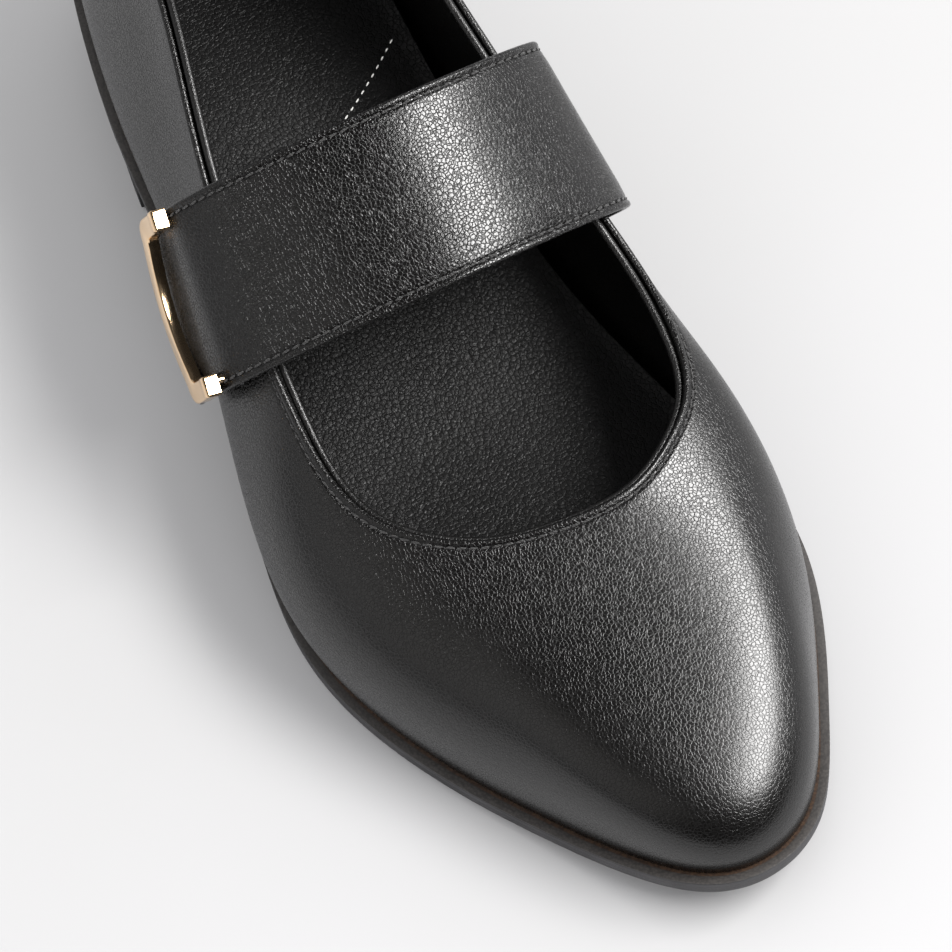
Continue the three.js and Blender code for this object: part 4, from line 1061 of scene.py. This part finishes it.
def quarter_x(side, s, z):
    """x of the upper's outer surface at a distance from the heel back and a height, beside the strap."""
    s, z = np.broadcast_arrays(np.asarray(s, float), np.asarray(z, float))
    back, front = STRAP_SIDES[side]
    u = np.full(s.shape, (back + front) / 2)
    t = np.full(s.shape, 0.5)
    for _ in range(4):
        low, high = np.zeros(s.shape), np.ones(s.shape)
        for _ in range(18):
            t = (low + high) / 2
            under = upper_point(u, t)[..., 2] < z
            low, high = np.where(under, t, low), np.where(under, high, t)
        rear, fore = np.full(s.shape, float(back)), np.full(s.shape, float(front))
        for _ in range(18):
            u = (rear + fore) / 2
            behind = SHOE_LENGTH / 2 - upper_point(u, t)[..., 1] < s
            rear, fore = np.where(behind, u, rear), np.where(behind, fore, u)
    return upper_point(u, t)[..., 0]


def through_points(points, samples=4000):
    """A uniform Catmull-Rom curve through points, as arrays of distance along it, x and drop."""
    points = np.array(points, float)
    last = len(points) - 1
    at = np.linspace(0, last, samples)
    k = np.minimum(at.astype(int), last - 1)
    f = (at - k)[:, None]
    a, b = points[np.maximum(k - 1, 0)], points[k]
    c, d = points[k + 1], points[np.minimum(k + 2, last)]
    one, two = (c - a) / 2, (d - b) / 2
    line = (2 * b - 2 * c + one + two) * f**3 + (-3 * b + 3 * c - 2 * one - two) * f**2 + one * f + b
    length = np.concatenate([[0], np.cumsum(np.linalg.norm(np.diff(line, axis=0), axis=1))])
    return length, line[:, 0], line[:, 1]


PATCH_DROP = STRAP_END_DROP - STRAP_END_MARGIN - PATCH_LENGTH / 2
PATCH_HALF = HALF_STRAP - PATCH_MARGIN  # half the fastener's length across the strap
END_X = (
    float(quarter_x("lateral", strap_s(PATCH_HALF, PATCH_DROP), strap_z(PATCH_HALF, PATCH_DROP)))
    - (STRAP_THICKNESS + 2 * PATCH + 5 * GAP)
    + LATERAL_FLARE * PATCH_HALF / HALF_STRAP
)
SEWN_X = float(quarter_x("medial", strap_s(0, SEWN_DROP), strap_z(0, SEWN_DROP))) + GAP + STRAP_THICKNESS
CURVE = through_points(
    [(END_X, STRAP_END_DROP), (END_X, PATCH_DROP), *STRAP_ARCH, (SEWN_X, SEWN_DROP)]
    + [(SEWN_X - SEWN_LEAN, SEWN_DROP + SEWN_LENGTH)]
)
CURVE_LENGTH = CURVE[0][-1]


def curve_at(k):
    """x and drop of the strap's outer face at a share of its length, and its direction there."""
    def point(share):
        at = np.clip(share, 0, 1) * CURVE_LENGTH
        return np.interp(at, CURVE[0], CURVE[1]), np.interp(at, CURVE[0], CURVE[2])

    step = 0.002
    (x1, d1), (x2, d2) = point(k - step), point(k + step)
    size = np.hypot(x2 - x1, d2 - d1)
    return (*point(k), (x2 - x1) / size, (d2 - d1) / size)


def share_at_drop(drop, end):
    """The strap's share of length where one of its sides has come down by a drop."""
    above, below = 0.5, end
    for _ in range(30):
        middle = (above + below) / 2
        above, below = (middle, below) if curve_at(middle)[1] < drop else (above, middle)
    return above


def strap_point(k, w, depth):
    """A point of the strap: share along it, distance across it, depth inside its outer face."""
    k, w, depth = np.broadcast_arrays(*(np.asarray(v, float) for v in (k, w, depth)))
    x, drop, tx, td = curve_at(k)
    most = np.where(x < 0, -LATERAL_FLARE, MEDIAL_FLARE)
    flare = most * (1 - np.cos(math.pi * np.clip(drop, 0, FLARE_DROP) / FLARE_DROP)) / 2
    near_x = x + flare * w / HALF_STRAP - td * depth
    near_drop = drop + tx * depth
    free = place(near_x, strap_s(w, near_drop), strap_z(w, near_drop))
    past = (x > 0) & (drop > HINGE_DROP)
    if not past.any():
        return free
    seated_x = np.array(near_x)
    leather_x = quarter_x("medial", strap_s(w, drop)[past], strap_z(w, drop)[past])
    seated_x[past] = leather_x + GAP + STRAP_THICKNESS - depth[past]
    seated = place(seated_x, strap_s(w, drop), strap_z(w, drop))
    settle = np.where(past, ease((drop - HINGE_DROP) / (SEWN_DROP - HINGE_DROP)), 0)[..., None]
    return free * (1 - settle) + seated * settle


def strap_normal(k, w):
    step = 0.3
    along = strap_point(k + step / CURVE_LENGTH, w, 0) - strap_point(k - step / CURVE_LENGTH, w, 0)
    over = strap_point(k, w + step, 0) - strap_point(k, w - step, 0)
    return unit(np.cross(over, along))


FOLD = share_at_drop(HINGE_DROP, 1)
CORNER = 3.5  # radius of the strap's corners in plan


def strap_shares():
    """Shares along the strap, closer together at its two ends."""
    near = np.array([0, 0.03, 0.1, 0.25, 0.45, 0.7, 1.0, 1.3, 1.6, 1.9, 2.1, 2.4, 2.8, 3.4]) / CURVE_LENGTH
    return np.concatenate([near, np.linspace(near[-1], 1 - near[-1], 190)[1:-1], (1 - near)[::-1]])


def strap_grid(inset=0.0):
    """Shares, distances across and distances from the nearest edge, over a strap with round corners."""
    steps = [0, 0.03, 0.1, 0.22, 0.4, 0.6, 0.85, 1.1, 1.35, 1.55, 1.7, 1.85, 2.0, 2.2, 2.5, 3, 3.6, 4.4]
    half = HALF_STRAP - inset
    spread = np.concatenate([half - np.array(steps), np.linspace(half - 5.6, 0, 12)])
    spread = np.concatenate([spread, -spread[-2::-1]])
    k = strap_shares()
    if inset:
        k = inset / CURVE_LENGTH + k * (1 - 2 * inset / CURVE_LENGTH)
    end = np.minimum(k - k[0], k[-1] - k) * CURVE_LENGTH
    full = half - (CORNER - np.sqrt(CORNER**2 - np.clip(CORNER - end, 0, CORNER) ** 2))
    w = spread[None, :] * (full / half)[:, None]
    edge = np.minimum(full[:, None] - np.abs(w), end[:, None])
    return np.broadcast_to(k[:, None], w.shape), w, edge


def make_strap():
    """The strap's leather and its lining, each one piece from end to end, and its stitches."""
    k, w, edge = strap_grid()
    radius = 0.6
    body = 0.16 * ease((edge - EDGE_BAND) / 4) - 0.1
    relief = edge_groove(edge, EDGE_BAND) + body
    folded = 0.35 * ease((4.2 - edge) / 1.2)
    outer = strap_point(k, w, rounding(edge, radius) - relief)
    inner = strap_point(k, w, STRAP_LEATHER + folded - rounding(edge, radius))
    cover = swept("strap_leather", paired(outer, inner), STRAP, smooth_angle=60)
    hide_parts("strap_outer", "strap_root")

    k, w, edge = strap_grid(inset=0.5)
    upper_face = STRAP_THICKNESS - STRAP_LINING - 0.5 * ease((4 - edge) / 1.5)
    outer = strap_point(k, w, upper_face + rounding(edge, 0.2))
    inner = strap_point(k, w, upper_face + STRAP_LINING - rounding(edge, 0.25))
    backing = swept("strap_backing", paired(outer, inner), LINING_LEATHER, smooth_angle=60)
    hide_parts("strap_lining", "strap_root_lining")

    inset = EDGE_BAND / CURVE_LENGTH
    side = HALF_STRAP - EDGE_BAND
    bend = CORNER - EDGE_BAND
    turn = np.linspace(0, math.pi / 2, 8)
    arc_k = (bend - bend * np.sin(turn)) / CURVE_LENGTH
    arc_w = side - bend + bend * np.cos(turn)
    straight = np.linspace(inset + bend / CURVE_LENGTH, 1 - inset - bend / CURVE_LENGTH, 300)
    half_k = np.concatenate([straight[::-1], inset + arc_k[1:]])
    half_w = np.concatenate([np.full(300, side), arc_w[1:]])
    loop_k = np.concatenate([half_k, half_k[::-1], 1 - inset - arc_k[1:], (1 - inset - arc_k[1:])[::-1]])
    loop_w = np.concatenate([half_w, -half_w[::-1], -arc_w[1:], arc_w[1:][::-1]])
    sunk = THREAD_SUNK + 0.02
    bar_k = share_at_drop(SEWN_DROP - 1.5, 1)
    across = np.linspace(-side, side, 40)
    rows = [
        (strap_point(loop_k, loop_w, sunk), strap_normal(loop_k, loop_w)),
        (strap_point(bar_k, across, sunk - 0.14), strap_normal(np.full(40, bar_k), across)),
    ]
    stitches = stitch_rows("strap_stitches", rows)
    return cover, backing, stitches


def blend_strap(pieces):
    """Bakes each strap piece's placement into its mesh; the strap stays one fixed shape."""
    fold = strap_point(FOLD, 0.0, 0.0)
    for piece in pieces:
        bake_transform(piece)


# ---- Side bar and touch fastener ----
def trim_frame():
    """The side bar's own axes: down the strap's side, across it, and out; and its middle."""
    share = share_at_drop(TRIM_DROP, 0)
    reach = TRIM_REACH / 4 / CURVE_LENGTH
    middle = strap_point(share, 0.0, -TRIM_STAND_OFF)
    down = unit(strap_point(share - reach, 0.0, 0.0) - strap_point(share + reach, 0.0, 0.0))
    over = unit(strap_point(share, 1.0, 0.0) - strap_point(share, -1.0, 0.0))
    out = unit(np.cross(over, down))
    out = -out if out[0] > 0 else out
    return np.stack([down, unit(np.cross(out, down)), out]), middle


def bend_between(start, control, stop, count=14):
    t = np.linspace(0, 1, count)[:, None]
    start, control, stop = map(np.array, (start, control, stop))
    return ((1 - t) ** 2 * start + 2 * t * (1 - t) * control + t * t * stop).tolist()


def trim_outline():
    outer = HALF_STRAP + TRIM_OVERHANG
    inner = outer - TRIM_ARM
    end, bar = TRIM_BAR_MIDDLE - TRIM_REACH, TRIM_BAR_MIDDLE
    corner, inside = TRIM_CORNER, bar - TRIM_BAR
    line = [[end, -outer]]
    line += bend_between((bar - corner, -outer), (bar, -outer), (bar, -outer + corner), 7)
    line += bend_between((bar, -outer + corner), (bar + 2 * TRIM_BOW, 0), (bar, outer - corner))[1:]
    line += bend_between((bar, outer - corner), (bar, outer), (bar - corner, outer), 7)[1:]
    line += [[end, outer], [end, inner]]
    turned, low = inside + 0.1, inner - 1.8
    line += bend_between((inside - 1.6, inner), (inside, inner), (turned, low), 5)
    line += bend_between((turned, low), (inside + 2 * TRIM_BOW, 0), (turned, -low))[1:]
    line += bend_between((turned, -low), (inside, -inner), (inside - 1.6, -inner), 5)[1:]
    return line + [[end, -inner]]


def cast_block(outline, low, high, bevel):
    """A block on a flat outline with its edges rounded, in the side bar's own axes."""
    block = bmesh.new()
    rings = [[block.verts.new((x, y, z)) for x, y in outline] for z in (low, high)]
    block.faces.new(rings[0])
    top = block.faces.new(rings[1])
    count = len(outline)
    for k in range(count):
        ahead = (k + 1) % count
        block.faces.new((rings[0][k], rings[0][ahead], rings[1][ahead], rings[1][k]))
    bmesh.ops.recalc_face_normals(block, faces=block.faces)
    edges = list(top.edges)
    for edge in block.edges:
        upright = abs(edge.verts[0].co.z - edge.verts[1].co.z) > 0.1
        if upright and edge.calc_face_angle() > 0.5:
            edges.append(edge)
    bmesh.ops.bevel(
        block, geom=edges, offset=bevel, segments=4, profile=0.55, affect="EDGES", clamp_overlap=True
    )
    mesh = bpy.data.meshes.new("block")
    block.to_mesh(mesh)
    block.free()
    return mesh


def make_trim():
    """The side bar with its end caps and prongs, cast as one."""
    axes, middle = trim_frame()
    outer = HALF_STRAP + TRIM_OVERHANG
    cap_middle = TRIM_BAR_MIDDLE - TRIM_REACH + TRIM_CAP / 2
    blocks = [cast_block(trim_outline(), 0, TRIM_THICKNESS, 0.45)]
    for side in (-1, 1):
        x, y = TRIM_CAP / 2, TRIM_ARM / 2
        centre = side * (outer - y)
        corners = [(cap_middle - x, centre - y), (cap_middle + x, centre - y)]
        corners += [(cap_middle + x, centre + y), (cap_middle - x, centre + y)]
        blocks.append(cast_block(corners, 0.05, TRIM_THICKNESS + TRIM_CAP_RISE, 0.5))
        angle = np.linspace(0, 2 * math.pi, 17)[:-1]
        along = cap_middle + PRONG_RADIUS * np.cos(angle)
        across = side * (HALF_STRAP - PRONG_INSET) + PRONG_RADIUS * np.sin(angle)
        blocks.append(cast_block(list(zip(along, across)), -4.6, 1, 0.1))
    pieces = [new_object("side_bar", mesh) for mesh in blocks]
    bar = pieces[0]
    for other in pieces[1:]:
        joined = bar.modifiers.new("cast", "BOOLEAN")
        joined.operation = "UNION"
        joined.solver = "EXACT"
        joined.object = other
    fix_modifiers(bar)
    for other in pieces[1:]:
        bpy.data.objects.remove(other)
    turn = Matrix([list(row) for row in axes.T]).to_4x4()
    turn.translation = Vector(middle + SHIFT)
    bar.data.transform(Matrix.Scale(MM, 4) @ turn)
    bar.data.materials.clear()
    bar.data.materials.append(ROSE_GOLD)
    bar.data.shade_smooth()
    bar.data.set_sharp_from_angle(angle=math.radians(24))
    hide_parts("side_bar_trim")
    return bar


def patch_piece(name, node, surface, rows, across, height, spread, bend):
    """Half of the touch fastener: a woven tape with its hooks or loops. surface gives its points."""
    k, w = np.meshgrid(np.linspace(0, 1, 16), np.linspace(-1, 1, 30), indexing="ij")
    tape = swept(name, paired(surface(k, w, TAPE_THICKNESS), surface(k, w, 0.0)), TAPE)
    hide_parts(node)
    k, w = np.meshgrid(np.linspace(0.06, 0.94, rows), np.linspace(-0.96, 0.96, across), indexing="ij")
    k = k + 0.012 * np.sin(37 * w + 11 * k)
    base, tip = surface(k, w, TAPE_THICKNESS * 0.95), surface(k, w, TAPE_THICKNESS + 1)
    out = unit(tip - base).reshape(-1, 3)
    sizes = {"Height": height * MM, "Thread": PILE_THREAD * MM, "Spread": spread, "Bend": bend}
    threads = from_tree(name + "_pile", PILE, base.reshape(-1, 3), out, TAPE, **sizes)
    return tape, threads


def make_fastener():
    """The hooks under the strap's free end, and the loops on the outer quarter."""
    share = share_at_drop(STRAP_END_DROP - STRAP_END_MARGIN, 0)
    reach = PATCH_LENGTH / CURVE_LENGTH

    def under_strap(k, w, out):
        return strap_point(share + reach * k, w * PATCH_HALF, STRAP_THICKNESS + 0.05 + out)

    def on_quarter(k, w, out):
        drop = STRAP_END_DROP - STRAP_END_MARGIN - PATCH_LENGTH * k
        s, z = strap_s(w * PATCH_HALF, drop), strap_z(w * PATCH_HALF, drop)
        return place(quarter_x("lateral", s, z) - 0.05 - out, s, z)

    hooks = patch_piece("hook_tape", "hook_patch", under_strap, 16, 34, height=0.45, spread=0.5, bend=4.2)
    loops = patch_piece("loop_tape", "loop_patch", on_quarter, 22, 46, height=0.4, spread=6.28, bend=3.14)
    return hooks, loops


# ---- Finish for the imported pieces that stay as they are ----
METAL_PARTS = ["shank", "shank_rivet_back", "shank_rivet_front", "trim_washer_back", "trim_washer_front"]
METAL_PARTS += [f"heel_nail_{k}" for k in range(1, 5)]
KEPT = {
    "insole_board": BOARD_FIBRE,
    "bottom_filler": CORK,
    **dict.fromkeys(["toe_puff", "heel_counter", "strap_reinforcement"], STIFFENER_FELT),
    **dict.fromkeys(METAL_PARTS, STEEL),
}


def finish_kept_nodes():
    for name, material in KEPT.items():
        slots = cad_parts[name].material_slots
        if not slots:
            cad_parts[name].data.materials.append(material)
        for slot in slots:
            slot.material = material


# ---- Stage, light and camera ----
def make_floor():
    """A pale, very slightly mottled paper sweep."""
    finish = Finish("pale_paper", Specular_IOR_Level=0.25)
    clouds = finish.group(CLOUDS, Patch_Size=0.25)
    finish.feed("Base Color", finish.mix(clouds["Patches"], (0.295, 0.294, 0.293), (0.305, 0.304, 0.306)))
    finish.feed("Roughness", finish.mix(clouds["Specks"], 0.75, 0.85))
    mesh = bpy.data.meshes.new("floor")
    mesh.from_pydata([(-4, -4, 0), (4, -4, 0), (4, 4, 0), (-4, 4, 0)], [], [(0, 1, 2, 3)])
    mesh.materials.append(finish.material)
    new_object("floor", mesh)


CAMERA_TARGET = Vector((-7.9 + SHIFT[0], -38.33, 30)) * MM
CAMERA_DISTANCE = 0.80772
CAMERA_AZIMUTH, CAMERA_ELEVATION, CAMERA_ROLL = (math.radians(v) for v in (-18.15, 59.59, 9.18))
CAMERA_LENS = 166.49


def view_axes():
    """The picture's right, up and towards-the-viewer directions."""
    a, e, r = CAMERA_AZIMUTH, CAMERA_ELEVATION, CAMERA_ROLL
    back = Vector((math.sin(a) * math.cos(e), -math.cos(a) * math.cos(e), math.sin(e)))
    level = Vector((math.cos(a), math.sin(a), 0))
    rise = back.cross(level)
    return math.cos(r) * level - math.sin(r) * rise, math.sin(r) * level + math.cos(r) * rise, back


def make_camera():
    right, up, back = view_axes()
    camera = bpy.data.cameras.new("camera")
    camera.lens = CAMERA_LENS
    camera.sensor_width = 36
    camera.clip_end = 20
    holder = new_object("camera", camera)
    turn = Matrix((right, up, back)).transposed().to_4x4()
    turn.translation = CAMERA_TARGET + back * CAMERA_DISTANCE
    holder.matrix_world = turn
    bpy.context.scene.camera = holder


WALL_GLOW = 0.42
DARK_GLOW = 0.02
MATT_FILL = 1.6  # the even fill that only matt surfaces catch


def make_room():
    """A studio room: pale low walls at the sides and behind, dark overhead and in front.

    Matt surfaces also catch an even soft fill from all round, which polished leather and metal don't mirror.
    """
    world = bpy.data.worlds.new("room")
    bpy.context.scene.world = world
    world.use_nodes = True
    tree = world.node_tree
    way = add_node(tree, "ShaderNodeTexCoord")["Generated"]
    across, along, height = add_node(tree, "ShaderNodeSeparateXYZ", {0: way})
    low = ramp(tree, height, 0.93, 0.6, 0.12, 1.0)
    behind = ramp(tree, along, -0.8, -0.05)
    right = ramp(tree, across, 0.7, 0.95, 0.9, 2.2)
    walls = maths(tree, "MULTIPLY", maths(tree, "MULTIPLY", low, behind), right)
    seen = maths(tree, "MULTIPLY_ADD", walls, WALL_GLOW, DARK_GLOW)
    scattered = add_node(tree, "ShaderNodeLightPath")["Is Diffuse Ray"]
    strength = maths(tree, "MULTIPLY_ADD", scattered, MATT_FILL, seen)
    background = tree.nodes["Background"]
    background.inputs["Color"].default_value = (0.98, 0.98, 1.0, 1)
    tree.links.new(strength, background.inputs["Strength"])


SOFTBOXES = [  # name, direction, long side's direction, distance, width, length, watts, colour
    ("window", (0.51, -0.28, 0.81), (-0.25, -0.55, -0.1), 1.5, 0.48, 1.1, 44, (1.0, 0.99, 0.98)),
    ("wall_reflector", (-0.74, -0.15, 0.6), (0, 1, 0), 1.9, 1.6, 2.2, 3.6, (1.0, 0.96, 0.91)),
]


def make_lights():
    """A long soft window light high on the right, a weak broad reflector on the left, and plain tones."""
    aim = Vector((0.01, -0.05, 0.03))
    for name, direction, length_way, distance, width, length, power, colour in SOFTBOXES:
        lamp = bpy.data.lights.new(name, "AREA")
        lamp.shape = "RECTANGLE"
        lamp.size = width
        lamp.size_y = length
        lamp.energy = power
        lamp.color = colour
        away = Vector(direction).normalized()
        side = Vector(length_way).cross(away).normalized()
        holder = new_object(name, lamp)
        turn = Matrix([side, away.cross(side), away]).transposed().to_4x4()
        holder.matrix_world = Matrix.Translation(aim + away * distance) @ turn
    bpy.context.scene.view_settings.view_transform = "Standard"


# ---- The shoe ----
for piece in [*make_upper(), *make_bottom(), *make_footbed()]:
    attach(piece, "shoe")
blend_strap(make_strap())
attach(make_trim(), "strap")
hook_pieces, loop_pieces = make_fastener()
for piece in hook_pieces:
    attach(piece, "strap")
for piece in loop_pieces:
    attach(piece, "shoe")
finish_kept_nodes()
make_floor()
make_camera()
make_room()
make_lights()
